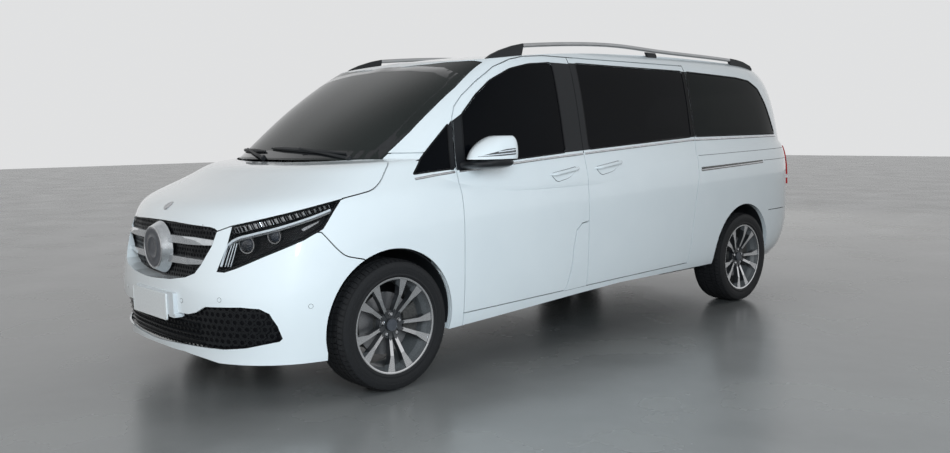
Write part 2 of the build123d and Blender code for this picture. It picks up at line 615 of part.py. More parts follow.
# ---- mirrors: a rounded cap on a black foot -----------------------------------------------------------------
MIRROR_PLAN = [(960, -1190), (966, -1300), (1010, -1318), (1070, -1282), (1106, -1215), (1121, -1130),
               (1119, -1066), (1104, -1042), (1030, -1046), (966, -1070)]
MIRROR_LEVELS = ((1190, 1.0, 0), (1235, 1.0, 2), (1275, 0.93, 6), (1302, 0.78, 14), (1316, 0.5, 24))
with BuildPart() as cap:
    for z, scale, shift in MIRROR_LEVELS:
        with BuildSketch(Plane.XY.offset(z)):
            with BuildLine():
                outline = [(1045 + (x - 1045) * scale, -1170 + shift + (y + 1170) * scale)
                           for x, y in MIRROR_PLAN]
                Spline(*outline, periodic=True)
            make_face()
    loft()
with BuildPart() as foot:
    with BuildSketch(Plane.XY.offset(1132)):
        with BuildLine():
            Spline(*[(1045 + (x - 1045) * 0.94, -1170 + (y + 1170) * 0.9) for x, y in MIRROR_PLAN],
                   periodic=True)
        make_face()
    extrude(amount=54)
foot_part = foot.part + block((880, 1000), (-1290, -1180), (1134, 1176))
save_pair(cap.part, "mirror_cap")
save_pair(biggest(foot_part - outer), "mirror_foot")

# ---- cabin furniture -----------------------------------------------------------------------------------------
DASH_SIDE = [(-1374, 1130), (-1374, 840), (-1330, 640), (-1240, 640), (-1210, 760), (-1120, 880),
             (-1110, 960), (-1180, 1120), (-1280, 1150)]
dash = side_prism(DASH_SIDE, 0, 0, 780, 20) & cabin_space
dash += block((0, 105), (-1260, -1010), (660, 900)) & cabin_space
save(both_sides(dash), "dashboard")
with BuildPart() as steering_wheel:
    with BuildSketch(Plane(origin=(400, -1000, 1020), z_dir=(0, 0.9, 0.45))):
        Circle(188)
        Circle(160, mode=Mode.SUBTRACT)
        Rectangle(336, 36)
        Circle(62)
    extrude(amount=24)
    with BuildSketch(Plane(origin=(400, -1000, 1020), z_dir=(0, -0.9, -0.45))):
        Circle(30)
    extrude(amount=88)
save(steering_wheel.part, "steering_wheel")


def seat(x0, x1, y):
    middle = (x0 + x1) / 2
    chair = pad((x0, x1), (y, y + 510), (FLOOR_Z + 230, FLOOR_Z + 370), 45, 3)
    chair += pad((x0 + 8, x1 - 8), (y + 450, y + 590), (FLOOR_Z + 290, 1330), 50, -10)
    chair += pad((middle - 125, middle + 125), (y + 590, y + 690), (1330, 1510), 35, -8)
    chair += rod((middle - 55, y + 600, 1290), (middle - 55, y + 628, 1360), 7)
    chair += rod((middle + 55, y + 600, 1290), (middle + 55, y + 628, 1360), 7)
    return chair + block((x0 + 50, x1 - 50), (y + 60, y + 440), (FLOOR_Z, FLOOR_Z + 260))


save(both_sides(seat(160, 680, -880)), "front_seats")
save(both_sides(seat(160, 680, 250) + seat(110, 630, 1200)), "rear_seats")
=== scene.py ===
import json
import math

import bmesh
import bpy
from mathutils import Matrix, Vector
from mathutils.bvhtree import BVHTree
from mathutils.geometry import delaunay_2d_cdt


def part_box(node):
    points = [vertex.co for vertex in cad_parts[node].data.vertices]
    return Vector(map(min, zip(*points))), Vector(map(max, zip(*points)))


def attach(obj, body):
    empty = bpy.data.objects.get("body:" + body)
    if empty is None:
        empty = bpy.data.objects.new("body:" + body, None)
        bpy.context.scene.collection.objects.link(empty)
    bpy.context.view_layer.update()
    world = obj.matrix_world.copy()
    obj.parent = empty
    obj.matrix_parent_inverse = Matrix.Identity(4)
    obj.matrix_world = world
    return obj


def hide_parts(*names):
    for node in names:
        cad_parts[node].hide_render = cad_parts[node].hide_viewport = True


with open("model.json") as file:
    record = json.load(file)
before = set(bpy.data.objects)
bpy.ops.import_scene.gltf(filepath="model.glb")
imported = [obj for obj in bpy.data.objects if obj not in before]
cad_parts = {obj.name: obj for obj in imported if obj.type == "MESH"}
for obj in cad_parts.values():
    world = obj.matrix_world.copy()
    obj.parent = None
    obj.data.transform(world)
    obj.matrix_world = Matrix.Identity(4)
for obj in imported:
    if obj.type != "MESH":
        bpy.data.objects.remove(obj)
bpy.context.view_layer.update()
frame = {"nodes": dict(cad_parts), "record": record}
nodes = frame["nodes"]

# ---- camera ---------------------------------------------------------------------------------
# A viewer stands off the front left corner with the eye about as high as the door mirrors, and looks
# slightly down at the car.
EYE = (4.501, -4.534, 1.325)
YAW, PITCH, ROLL = math.radians(-47.05), math.radians(-6.34), math.radians(-0.74)
ahead = Vector((math.cos(PITCH) * math.sin(YAW), math.cos(PITCH) * math.cos(YAW), math.sin(PITCH)))
level = Vector((math.cos(YAW), -math.sin(YAW), 0.0))
upright = level.cross(ahead)
right = level * math.cos(ROLL) + upright * math.sin(ROLL)
above = upright * math.cos(ROLL) - level * math.sin(ROLL)
lens = bpy.data.cameras.new("camera")
lens.lens = 33.34
lens.sensor_width = 36.0
lens.shift_y = 0.0058
camera = bpy.data.objects.new("camera", lens)
camera.matrix_world = Matrix((
    (right.x, above.x, -ahead.x, EYE[0]),
    (right.y, above.y, -ahead.y, EYE[1]),
    (right.z, above.z, -ahead.z, EYE[2]),
    (0, 0, 0, 1)))
bpy.context.scene.collection.objects.link(camera)
bpy.context.scene.camera = camera


# ---- painted body panels ----------------------------------------------------------------------
# Steel and aluminium pressings, spot-welded or bolted, in solid white under clear lacquer. The sides
# of doors and pillars that face the cabin carry grey moulded trim cards and cloth headlining.
def finish(name, tones, roughness, scale, bump=0.0, spread=0.05, stretch=(1, 1, 1), sockets=()):
    """A finish between two tones, mottled in colour and gloss, with its relief and fixed values."""
    mat = bpy.data.materials.new(name)
    mat.use_nodes = True
    make, link = mat.node_tree.nodes.new, mat.node_tree.links.new
    shader = mat.node_tree.nodes["Principled BSDF"]
    place = make("ShaderNodeMapping")
    place.inputs["Scale"].default_value = stretch
    noise = make("ShaderNodeTexNoise")
    noise.inputs["Scale"].default_value = scale
    noise.inputs["Detail"].default_value = 5.0
    ramp = make("ShaderNodeValToRGB")
    for stop, tone, position in zip(ramp.color_ramp.elements, tones, (0.35, 0.65)):
        stop.color, stop.position = (*tone, 1.0), position
    gloss = make("ShaderNodeMapRange")
    gloss.inputs["To Min"].default_value = max(roughness - spread, 0.0)
    gloss.inputs["To Max"].default_value = roughness + spread
    link(make("ShaderNodeTexCoord").outputs["Object"], place.inputs["Vector"])
    link(place.outputs["Vector"], noise.inputs["Vector"])
    link(noise.outputs["Fac"], ramp.inputs["Fac"])
    link(noise.outputs["Fac"], gloss.inputs["Value"])
    link(ramp.outputs["Color"], shader.inputs["Base Color"])
    link(gloss.outputs["Result"], shader.inputs["Roughness"])
    if bump:
        relief = make("ShaderNodeBump")
        relief.inputs["Strength"].default_value = bump
        relief.inputs["Distance"].default_value = 0.001
        link(noise.outputs["Fac"], relief.inputs["Height"])
        link(relief.outputs["Normal"], shader.inputs["Normal"])
    for socket, value in dict(sockets).items():
        shader.inputs[socket].default_value = value
    return mat


def dress(node, materials, choose=None):
    """Coats a CAD node; choose gives each face the number of its material."""
    mesh = nodes[node].data
    mesh.materials.clear()
    for mat in materials:
        mesh.materials.append(mat)
    for face in mesh.polygons:
        face.material_index = choose(face.center, face.normal) if choose else 0


WHITE = ((0.745, 0.780, 0.795), (0.768, 0.800, 0.812))
paint = finish("white_lacquer", WHITE, 0.22, 3.0, spread=0.03,
               sockets={"Coat Weight": 1.0, "Coat Roughness": 0.03, "Specular IOR Level": 0.4})
black_gloss = finish("black_gloss", ((0.010, 0.011, 0.012), (0.016, 0.017, 0.019)), 0.14, 60.0,
                     sockets={"Coat Weight": 0.6, "Coat Roughness": 0.04})
black_moulded = finish("black_moulded", ((0.013, 0.014, 0.015), (0.023, 0.024, 0.026)), 0.5, 900.0, bump=0.25,
                       sockets={"Specular IOR Level": 0.35})
trim_card = finish("trim_card", ((0.05, 0.05, 0.052), (0.075, 0.074, 0.074)), 0.62, 700.0, bump=0.4)
headlining = finish("headlining", ((0.40, 0.39, 0.37), (0.47, 0.46, 0.44)), 0.9, 1400.0, bump=0.3)
TRIM_TOP_Z = 1.24
INNER_SKIN_Y = 2.55
SHUT_FACE_BLACK = 3


def side_trim(centre, normal):
    """0 is paint, 1 the moulded card inside the doors and sills, 2 the cloth on the pillars."""
    inward = -normal.x if centre.x > 0 else normal.x
    if inward < 0.6:
        return 0
    return 1 if centre.z < TRIM_TOP_Z else 2


for side in ("left", "right"):
    for panel in ("side_frame", "front_door", "sliding_door"):
        dress(f"{panel}_{side}", (paint, trim_card, headlining, black_moulded), side_trim)
for panel in ("bonnet", "front_wings", "front_bumper", "rear_bumper", "fuel_flap"):
    dress(panel, (paint,))
dress("roof_panel", (paint, headlining), lambda centre, normal: 1 if normal.z < -0.5 else 0)
dress("tailgate", (paint, trim_card),
      lambda centre, normal: 1 if normal.y < -0.6 and centre.y < INNER_SKIN_Y else 0)
for part in ("scuttle_panel", "arch_liners", "rail_feet"):
    dress(part, (black_moulded,))

# ---- glazing ------------------------------------------------------------------------------------
# Bonded safety glass: a clear laminated screen with a black ceramic border, and privacy glass in the
# doors, quarters and tailgate so dark that the cabin behind is only just seen.
def glass(name, tone, opacity):
    """A smooth tinted pane; the tone is what little light it gives back."""
    return finish(name, (tone, tuple(channel * 1.25 for channel in tone)), 0.015, 2.0, spread=0.01,
                  sockets={"Alpha": opacity, "Specular IOR Level": 0.07})


privacy_glass = glass("privacy_glass", (0.0015, 0.002, 0.003), 0.97)
rear_glass = glass("rear_privacy_glass", (0.003, 0.005, 0.005), 0.965)
screen_glass = glass("screen_glass", (0.015, 0.018, 0.017), 0.87)
screen_glass.node_tree.nodes["Principled BSDF"].inputs["Specular IOR Level"].default_value = 0.38
QUARTER_START_Y = 0.99
for side in ("left", "right"):
    dress(f"front_glass_{side}", (privacy_glass,))
dress("side_glass", (privacy_glass, rear_glass),
      lambda centre, normal: 1 if centre.y > QUARTER_START_Y else 0)
dress("windscreen", (screen_glass,))
dress("rear_window", (rear_glass,))

VIEWS = {
    "side": (Vector((0, 1, 0)), Vector((0, 0, 1)), Vector((1, 0, 0))),
    "front": (Vector((1, 0, 0)), Vector((0, 0, 1)), Vector((0, -1, 0))),
    "rear": (Vector((1, 0, 0)), Vector((0, 0, 1)), Vector((0, 1, 0))),
    "top": (Vector((1, 0, 0)), Vector((0, 1, 0)), Vector((0, 0, 1))),
    "lamp": (Vector((0.5, 0.866, 0)), Vector((0, 0, 1)), Vector((0.866, -0.5, 0))),
    "corner": (Vector((0.707, 0.707, 0)), Vector((0, 0, 1)), Vector((0.707, -0.707, 0))),
}


def caster(names):
    """The named panels as one surface on which other pieces are laid."""
    verts, faces = [], []
    for name in names:
        start = len(verts)
        verts += [v.co.copy() for v in nodes[name].data.vertices]
        faces += [[start + i for i in face.vertices] for face in nodes[name].data.polygons]
    return BVHTree.FromPolygons(verts, faces)


def landing(tree, view, u, v, lift=0.0):
    """The point on the panels that a look from one side meets, raised by lift."""
    across, up, out = VIEWS[view]
    start = across * u + up * v + out * 3.2
    hit = tree.ray_cast(start, -out)[0]
    if hit is None:
        near = tree.find_nearest(across * u + up * v + out * 1.0)[0]
        hit = across * u + up * v + out * near.dot(out)
    return hit + out * lift


def inside(point, outline):
    """Whether a point lies within a closed outline."""
    within = False
    for (x0, y0), (x1, y1) in zip(outline, outline[1:] + outline[:1]):
        if (y0 > point[1]) != (y1 > point[1]):
            if point[0] < x0 + (point[1] - y0) * (x1 - x0) / (y1 - y0):
                within = not within
    return within


def divided(outline, step):
    """The outline with points added so that none is further than a step from the next."""
    points = []
    for a, b in zip(outline, outline[1:] + outline[:1]):
        a, b = Vector(a), Vector(b)
        count = max(1, math.ceil((b - a).length / step))
        points += [a.lerp(b, i / count) for i in range(count)]
    return points


def rounded(outline, radius, steps=5):
    """The outline with each corner turned into a short curve."""
    points = []
    count = len(outline)
    for i, corner in enumerate(outline):
        corner = Vector(corner)
        before, after = Vector(outline[i - 1]) - corner, Vector(outline[(i + 1) % count]) - corner
        reach = min(radius, before.length * 0.45, after.length * 0.45)
        start, end = corner + before.normalized() * reach, corner + after.normalized() * reach
        for k in range(steps + 1):
            t = k / steps
            points.append(tuple(start * (1 - t) ** 2 + corner * 2 * t * (1 - t) + end * t ** 2))
    return points


def piece(name, verts, faces, mat, body="body", slot="black_plastic", sharp=35.0):
    """A closed mesh object, with its faces turned outward, that rides on a body."""
    mesh = bpy.data.meshes.new(name)
    mesh.from_pydata([tuple(v) for v in verts], [], faces)
    work = bmesh.new()
    work.from_mesh(mesh)
    bmesh.ops.remove_doubles(work, verts=work.verts, dist=1e-6)
    bmesh.ops.recalc_face_normals(work, faces=work.faces)
    work.to_mesh(mesh)
    work.free()
    mesh.shade_smooth()
    mesh.set_sharp_from_angle(angle=math.radians(sharp))
    mesh.materials.append(mat)
    made = bpy.data.objects.new(name, mesh)
    bpy.context.scene.collection.objects.link(made)
    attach(made, body)
    return made


def mirrored(verts, faces):
    """The same shape on the other side of the car."""
    return [Vector((-v[0], v[1], v[2])) for v in verts], [tuple(reversed(face)) for face in faces]


def join(*parts):
    """Several shapes as one."""
    verts, faces = [], []
    for more_verts, more_faces in parts:
        faces += [tuple(len(verts) + i for i in face) for face in more_faces]
        verts += list(more_verts)
    return verts, faces


def both(part):
    """The shape and its mirror image as one."""
    return join(part, mirrored(*part))


def pair(name, part, mat, bodies=("body", "body"), slot="black_plastic", sharp=35.0):
    """A piece on the left and its mirror image on the right, each on its own body."""
    piece(f"{name}_left", *part, mat, bodies[0], slot, sharp)
    piece(f"{name}_right", *mirrored(*part), mat, bodies[1], slot, sharp)


def plate(outline, view, onto, lift=0.0015, thickness=0.004, step=0.04, hole=None, dome=0.0):
    """A thin closed sheet that follows the panels within an outline, given as seen from one side."""
    tree = caster(onto)
    rim = divided(outline, step)
    edges = [(i, (i + 1) % len(rim)) for i in range(len(rim))]
    if hole:
        inner = divided(hole, step)
        edges += [(len(rim) + i, len(rim) + (i + 1) % len(inner)) for i in range(len(inner))]
        rim = rim + inner
    low = [min(p[k] for p in outline) for k in (0, 1)]
    high = [max(p[k] for p in outline) for k in (0, 1)]
    points = list(rim)
    for i in range(1, int((high[0] - low[0]) / step) + 1):
        for j in range(1, int((high[1] - low[1]) / step) + 1):
            spot = Vector((low[0] + i * step, low[1] + j * step))
            if inside(spot, outline) and not (hole and inside(spot, hole)):
                if min((spot - edge).length for edge in rim) > step * 0.4:
                    points.append(spot)
    flat, _, triangles = delaunay_2d_cdt(points, edges, [], 1, 1e-7)[:3]
    if hole:
        triangles = [t for t in triangles if not inside(sum((flat[i] for i in t), Vector((0, 0))) / 3, hole)]
    out = VIEWS[view][2]
    top = []
    for spot in flat:
        rise = lift
        if dome:
            edge = min((spot - near).length for near in rim)
            rise += dome * min(edge / (2 * dome), 1.0) ** 0.5
        top.append(landing(tree, view, spot[0], spot[1], rise))
    count = len(top)
    verts = top + [point - out * thickness for point in top]
    faces = [tuple(t) for t in triangles] + [tuple(count + i for i in reversed(t)) for t in triangles]
    used = {}
    for t in triangles:
        for a, b in ((t[0], t[1]), (t[1], t[2]), (t[2], t[0])):
            used[(a, b)] = True
    faces += [(b, a, count + a, count + b) for a, b in used if (b, a) not in used]
    return verts, faces


def swept(path, section, out, scales=None):
    """A bar along a path. section is (across, out) offsets; out is the outward direction."""
    verts, faces = [], []
    ring = len(section)
    for i, point in enumerate(path):
        along = (path[min(i + 1, len(path) - 1)] - path[max(i - 1, 0)]).normalized()
        across = along.cross(out).normalized()
        face_out = across.cross(along).normalized()
        size = scales[i] if scales else 1.0
        verts += [point + across * a * size + face_out * b * size for a, b in section]
    for i in range(len(path) - 1):
        for k in range(ring):
            n = (k + 1) % ring
            faces.append((i * ring + k, i * ring + n, (i + 1) * ring + n, (i + 1) * ring + k))
    faces.append(tuple(reversed(range(ring))))
    faces.append(tuple(range((len(path) - 1) * ring, len(path) * ring)))
    return verts, faces


def oval(width, height, count=12, power=1.0):
    """An oval section; a power below 1 squares it."""
    turns = [2 * math.pi * i / count for i in range(count)]
    return [(width / 2 * math.copysign(abs(math.cos(t)) ** power, math.cos(t)),
             height / 2 * math.copysign(abs(math.sin(t)) ** power, math.sin(t))) for t in turns]


def smooth_line(points, count):
    """Points along a curve through the given ones."""
    points = [Vector(p) for p in points]
    ends = [points[0] * 2 - points[1]] + points + [points[-1] * 2 - points[-2]]
    spans = len(points) - 1
    line = []
    for i in range(count + 1):
        place = min(i / count * spans, spans - 1e-9)
        k, t = int(place), place - int(place)
        a, b, c, d = ends[k:k + 4]
        line.append((b * 2 + (c - a) * t + (a * 2 - b * 5 + c * 4 - d) * t ** 2
                     + (b * 3 - a - c * 3 + d) * t ** 3) * 0.5)
    return line


# the black ceramic borders of the windscreen and of the tailgate glass
SCREEN_EDGE = [(-0.715, 1.205), (-0.738, 1.341), (-0.747, 1.467), (-0.748, 1.590), (-0.738, 1.662),
               (-0.560, 1.716), (-0.300, 1.742), (0.0, 1.750), (0.300, 1.742), (0.560, 1.716),
               (0.738, 1.662), (0.748, 1.590), (0.747, 1.467), (0.738, 1.341), (0.715, 1.205)]
SCREEN_CLEAR = [(-0.668, 1.246), (-0.690, 1.345), (-0.705, 1.590), (-0.690, 1.640), (-0.540, 1.686),
                (-0.290, 1.712), (0.0, 1.720), (0.290, 1.712), (0.540, 1.686), (0.690, 1.640),
                (0.705, 1.590), (0.690, 1.345), (0.668, 1.246)]
screen_border = plate(SCREEN_EDGE, "front", ("windscreen",), 0.0008, 0.003, 0.05, SCREEN_CLEAR)
piece("screen_border", *screen_border, black_gloss, slot="glass")
GATE_GLASS_EDGE = [(-0.672, 1.300), (-0.657, 1.450), (-0.594, 1.636), (-0.540, 1.704), (0.540, 1.704),
                   (0.594, 1.636), (0.657, 1.450), (0.672, 1.300)]
GATE_GLASS_CLEAR = [(-0.610, 1.360), (-0.596, 1.470), (-0.545, 1.610), (-0.515, 1.645), (0.515, 1.645),
                    (0.545, 1.610), (0.596, 1.470), (0.610, 1.360)]
gate_clear = rounded(GATE_GLASS_CLEAR, 0.06)
gate_border = plate(GATE_GLASS_EDGE, "rear", ("rear_window",), 0.0008, 0.003, 0.05, gate_clear)
piece("gate_glass_border", *gate_border, black_gloss, "tailgate", "glass")

# ---- black window band --------------------------------------------------------------------------
# Satin black covers clipped to the pillars and the door frames, so that the side glass reads as one
# dark band along the car.
pillar_cover = finish("pillar_cover", ((0.009, 0.0095, 0.011), (0.014, 0.015, 0.017)), 0.42, 500.0, bump=0.08,
                      sockets={"Specular IOR Level": 0.25})
band_black = finish("band_black", ((0.002, 0.0025, 0.003), (0.004, 0.0045, 0.0055)), 0.2, 60.0,
                    sockets={"Specular IOR Level": 0.08})
rubber = finish("rubber", ((0.005, 0.005, 0.006), (0.010, 0.010, 0.011)), 0.6, 300.0, bump=0.2,
                sockets={"Specular IOR Level": 0.2})
DOOR_PILLAR = [(-0.4520, 1.206), (-0.4520, 1.2095), (-0.4357, 1.2175), (-0.4290, 1.2340), (-0.4290, 1.732),
               (-0.4357, 1.7483), (-0.4520, 1.7551), (-0.4520, 1.759), (-0.2622, 1.759), (-0.2622, 1.215)]
SLIDING_PILLAR = [(-0.2558, 1.216), (-0.2558, 1.763), (-0.1740, 1.7645), (-0.1740, 1.7610), (-0.1903, 1.7543),
                  (-0.1970, 1.738), (-0.1970, 1.2490), (-0.1903, 1.2335), (-0.1740, 1.2270),
                  (-0.1740, 1.2215)]
MIRROR_STRIP = [(-1.3140, 1.1300), (-1.3098, 1.160), (-1.2965, 1.250), (-1.2890, 1.300), (-1.2812, 1.350),
                (-1.2740, 1.404), (-1.1900, 1.4545), (-1.2139, 1.4325), (-1.2457, 1.158), (-1.2457, 1.1360)]
DOOR_EDGE = [(-1.3144, 1.135), (-1.3110, 1.160), (-1.3050, 1.200), (-1.2975, 1.250), (-1.2900, 1.300),
             (-1.2820, 1.350), (-1.2745, 1.402)]
SLIDING_REAR = [(0.9557, 1.284), (0.9916, 1.286), (1.0082, 1.757), (0.9727, 1.757)]
QUARTER_FRONT = [(0.9985, 1.286), (1.0113, 1.288), (1.0293, 1.757), (1.0152, 1.757)]
ON_BODY = ("body", "body")
DOORS = ("front_door_left", "front_door_right")
COVER_RISE, COVER_THICK = 0.0012, 0.003
for name, outline, onto, bodies, mat in (
        ("door_pillar_cover", DOOR_PILLAR, ("front_door_left",), DOORS, pillar_cover),
        ("mirror_strip", MIRROR_STRIP, ("front_door_left",), DOORS, pillar_cover),
        ("sliding_pillar_cover", SLIDING_PILLAR, ("sliding_door_left",), ON_BODY, pillar_cover),
        ("sliding_rear_cover", SLIDING_REAR, ("sliding_door_left",), ON_BODY, band_black),
        ("quarter_front_cover", QUARTER_FRONT, ("side_frame_left",), ON_BODY, band_black)):
    cover = plate(rounded(outline, 0.002), "side", onto, COVER_RISE, COVER_THICK, 0.03)
    pair(name, cover, mat, bodies)

# ---- window rubbers -----------------------------------------------------------------------------
# A moulded rubber strip is pressed round every side pane, and round the small fixed pane ahead of
# each front door.


def offset(outline, amount):
    """The outline with each edge moved outward by an amount."""
    turning = sum(a[0] * b[1] - b[0] * a[1] for a, b in zip(outline, outline[1:] + outline[:1]))
    sign = 1 if turning > 0 else -1
    points = []
    for i, corner in enumerate(outline):
        corner = Vector(corner)
        before = (corner - Vector(outline[i - 1])).normalized()
        after = (Vector(outline[(i + 1) % len(outline)]) - corner).normalized()
        normals = [Vector((edge.y, -edge.x)) * sign for edge in (before, after)]
        along = (normals[0] + normals[1]).normalized()
        points.append(tuple(corner + along * amount / max(along.dot(normals[0]), 0.5)))
    return points


FRONT_WINDOW = [(-1.245, 1.158), (-1.213, 1.432), (-1.093, 1.545), (-0.971, 1.630), (-0.802, 1.702),
                (-0.640, 1.736), (-0.430, 1.754), (-0.430, 1.212)]
SLIDING_WINDOW = [(-0.196, 1.226), (-0.196, 1.760), (0.972, 1.754), (0.955, 1.290)]
QUARTER_WINDOW = [(1.012, 1.292), (1.030, 1.753), (1.715, 1.733), (1.900, 1.714), (2.028, 1.656),
                  (2.115, 1.536), (2.216, 1.302)]
CORNER_WINDOW = [(-1.588, 1.121), (-1.312, 1.376), (-1.352, 1.142)]
RUBBER_SECTION = [(-0.0050, -0.004), (0.0050, -0.004), (0.0050, 0.0004), (0.0035, 0.0014), (-0.0035, 0.0014),
                  (-0.0050, 0.0004)]


def hoop(path, section, out):
    """A closed bar round a loop of points; section is (across, out) offsets."""
    verts, faces = [], []
    ring, count = len(section), len(path)
    for i, point in enumerate(path):
        along = (path[(i + 1) % count] - path[i - 1]).normalized()
        across = along.cross(out).normalized()
        face_out = across.cross(along).normalized()
        verts += [point + across * a + face_out * b for a, b in section]
    for i in range(count):
        for k in range(ring):
            j, n = (i + 1) % count, (k + 1) % ring
            faces.append((i * ring + k, i * ring + n, j * ring + n, j * ring + k))
    return verts, faces


LEANING_OUT = Vector((1.0, 0.0, 0.22))
RUBBER_OVERLAP = 0.004
for name, outline, onto, bodies, corner in (
        ("front_window_rubber", FRONT_WINDOW, ("front_door_left",), DOORS, 0.024),
        ("sliding_window_rubber", SLIDING_WINDOW, ("sliding_door_left",), ON_BODY, 0.024),
        ("quarter_window_rubber", QUARTER_WINDOW, ("side_frame_left",), ON_BODY, 0.024),
        ("corner_window_rubber", CORNER_WINDOW, ("side_frame_left", "front_wings"), ON_BODY, 0.008)):
    tree = caster(onto)
    run = divided(rounded(offset(outline, RUBBER_OVERLAP), corner), 0.03)
    loop = [landing(tree, "side", y, z) for y, z in run]
    pair(name, hoop(loop, RUBBER_SECTION, LEANING_OUT), rubber, bodies)

# ---- corner pillar covers and door edge guards ----------------------------------------------------
# A narrow black cover closes the pillar between the small fixed pane and the door, and a rubber strip
# is pushed over the front edge of the door behind it.


def distance_to(outline, spot):
    """How far a point is from a closed outline."""
    best = 10.0
    for a, b in zip(outline, outline[1:] + outline[:1]):
        a, b = Vector(a), Vector(b)
        along = max(0.0, min(1.0, (spot - a).dot(b - a) / (b - a).length_squared))
        best = min(best, (spot - a.lerp(b, along)).length)
    return best


def ladder(rows, onto):
    """A narrow closed sheet on the panels; each row is (height, first station, last station)."""
    tree = caster(onto)
    top = []
    for z, start, end in rows:
        top += [landing(tree, "side", y, z, COVER_RISE) for y in (start, (start + end) / 2, end)]
    verts = top + [point - Vector((COVER_THICK, 0, 0)) for point in top]
    back, last = len(top), len(top) - 3
    faces = []
    for i in range(0, last, 3):
        for k in (i, i + 1):
            faces += [(k, k + 1, k + 4, k + 3), (back + k, back + k + 3, back + k + 4, back + k + 1)]
        faces += [(i, i + 3, back + i + 3, back + i), (i + 2, back + i + 2, back + i + 5, i + 5)]
    for i in (0, last):
        faces += [(k, k + 1, back + k + 1, back + k) for k in (i, i + 1)]
    return verts, faces


CORNER_PILLAR = [(1.1315, -1.3510, -1.3212), (1.148, -1.3490, -1.3197), (1.200, -1.3400, -1.3121),
                 (1.250, -1.3300, -1.3048), (1.300, -1.3215, -1.2975), (1.350, -1.3135, -1.2896),
                 (1.378, -1.3070, -1.2855), (1.402, -1.2860, -1.2822)]
pair("corner_pillar_cover", ladder(CORNER_PILLAR, ("side_frame_left", "front_wings")), pillar_cover)

GUARD_SECTION = [(-0.0009, -0.024), (0.0004, -0.024), (0.0004, 0.0), (-0.0009, 0.0)]
OUTWARD = Vector((1, 0, 0))
tree = caster(("front_door_left",))
edge_line = []
for y, z in DOOR_EDGE:
    edge_line.append(landing(tree, "side", y + 0.0025, z, -0.0004) - Vector((0, 0.0025, 0)))
pair("door_edge_guard", swept(edge_line, GUARD_SECTION, OUTWARD), rubber, DOORS)

# ---- blacked-out reveals and pillar seals ---------------------------------------------------------
# The reveals of the window openings and the panel edges in the pillar joints are painted black, so
# that no body colour shows beside the glass. Rubber seals close the joints before and behind the
# sliding door, flush with the covers.


def both_sides(*panels):
    """The left and right nodes of the panels."""
    return [f"{panel}_{side}" for panel in panels for side in ("left", "right")]


JOINT_REACH, REVEAL_REACH = 0.010, 0.014
PILLAR_JOINTS = (
    ((-0.262, 1.22), (-0.262, 1.757), (-0.256, 1.757), (-0.256, 1.22)),
    ((0.990, 1.290), (1.008, 1.757), (1.0135, 1.757), (0.9955, 1.290)),
    ((-1.3160, 1.15), (-1.2900, 1.300), (-1.2740, 1.404),
     (-1.2800, 1.404), (-1.2960, 1.300), (-1.3200, 1.15)))
for joint in PILLAR_JOINTS:
    foot, top = joint[0][1], joint[1][1]
    for name in both_sides("front_door", "sliding_door", "side_frame"):
        mesh = nodes[name].data
        for face in mesh.polygons:
            highest = max((mesh.vertices[i].co for i in face.vertices), key=lambda co: co.z)
            if abs(face.normal.y) > 0.5 and highest.z > foot + 0.03:
                if distance_to(joint, Vector((highest.y, min(highest.z, top)))) < JOINT_REACH:
                    face.material_index = SHUT_FACE_BLACK
for outline, names in ((FRONT_WINDOW, both_sides("front_door")), (SLIDING_WINDOW, both_sides("sliding_door")),
                       (QUARTER_WINDOW, both_sides("side_frame")),
                       (CORNER_WINDOW, both_sides("side_frame") + ["front_wings"])):
    for name in names:
        mesh = nodes[name].data
        black = mesh.materials.find(band_black.name)
        if black < 0:
            mesh.materials.append(band_black)
            black = len(mesh.materials) - 1
        for face in mesh.polygons:
            if abs(face.normal.x) < 0.72 and distance_to(outline, face.center.yz) < REVEAL_REACH:
                face.material_index = black

SEAL_SECTION = [(-0.0023, -0.008), (0.0023, -0.008), (0.0023, 0.0), (-0.0023, 0.0)]
SEAL_RISE, SEAL_BESIDE = 0.0006, 0.012
tree = caster(("sliding_door_left", "side_frame_left", "front_door_left"))
for name, low, high in (("door_seal", (-0.2588, 1.200), (-0.2588, 1.757)),
                        ("slider_seal", (0.9925, 1.284), (1.0108, 1.757))):
    line = []
    for i in range(17):
        y, z = low[0] + (high[0] - low[0]) * i / 16, low[1] + (high[1] - low[1]) * i / 16
        beside = (landing(tree, "side", y - SEAL_BESIDE, z) + landing(tree, "side", y + SEAL_BESIDE, z)) / 2
        line.append(Vector((beside.x + SEAL_RISE, y, z)))
    pair(name, swept(line, SEAL_SECTION, OUTWARD), rubber)

# ---- belt trim ----------------------------------------------------------------------------------
# Bright rolled metal strips clipped along the foot of the side glass, one to each panel, so that the
# doors carry theirs with them.
chrome = finish("bright_trim", ((0.62, 0.63, 0.65), (0.74, 0.75, 0.77)), 0.10, 40.0, spread=0.03,
                sockets={"Metallic": 1.0})
satin_silver = finish("satin_silver", ((0.50, 0.51, 0.53), (0.62, 0.63, 0.65)), 0.28, 220.0, spread=0.06,
                      sockets={"Metallic": 0.9})
BELT = [(-1.609, 1.104), (-1.317, 1.135), (-0.814, 1.172), (-0.483, 1.194), (0.925, 1.274), (2.244, 1.294)]
BELT_TALL, BELT_RISE, BELT_BELOW_GLASS = 0.015, 0.0065, 0.012
BELT_SECTION = [(BELT_TALL / 2 * math.cos(t * math.pi / 8), BELT_RISE * math.sin(t * math.pi / 8))
                for t in range(9)]
BELT_SECTION += [(-BELT_TALL / 2, -0.004), (BELT_TALL / 2, -0.004)]


def belt_height(y):
    """The height of the foot of the side glass at a station along the car."""
    for (y0, z0), (y1, z1) in zip(BELT, BELT[1:]):
        if y <= y1 or y1 == BELT[-1][0]:
            return z0 + (z1 - z0) * (y - y0) / (y1 - y0)


BAR_STEP = 0.04


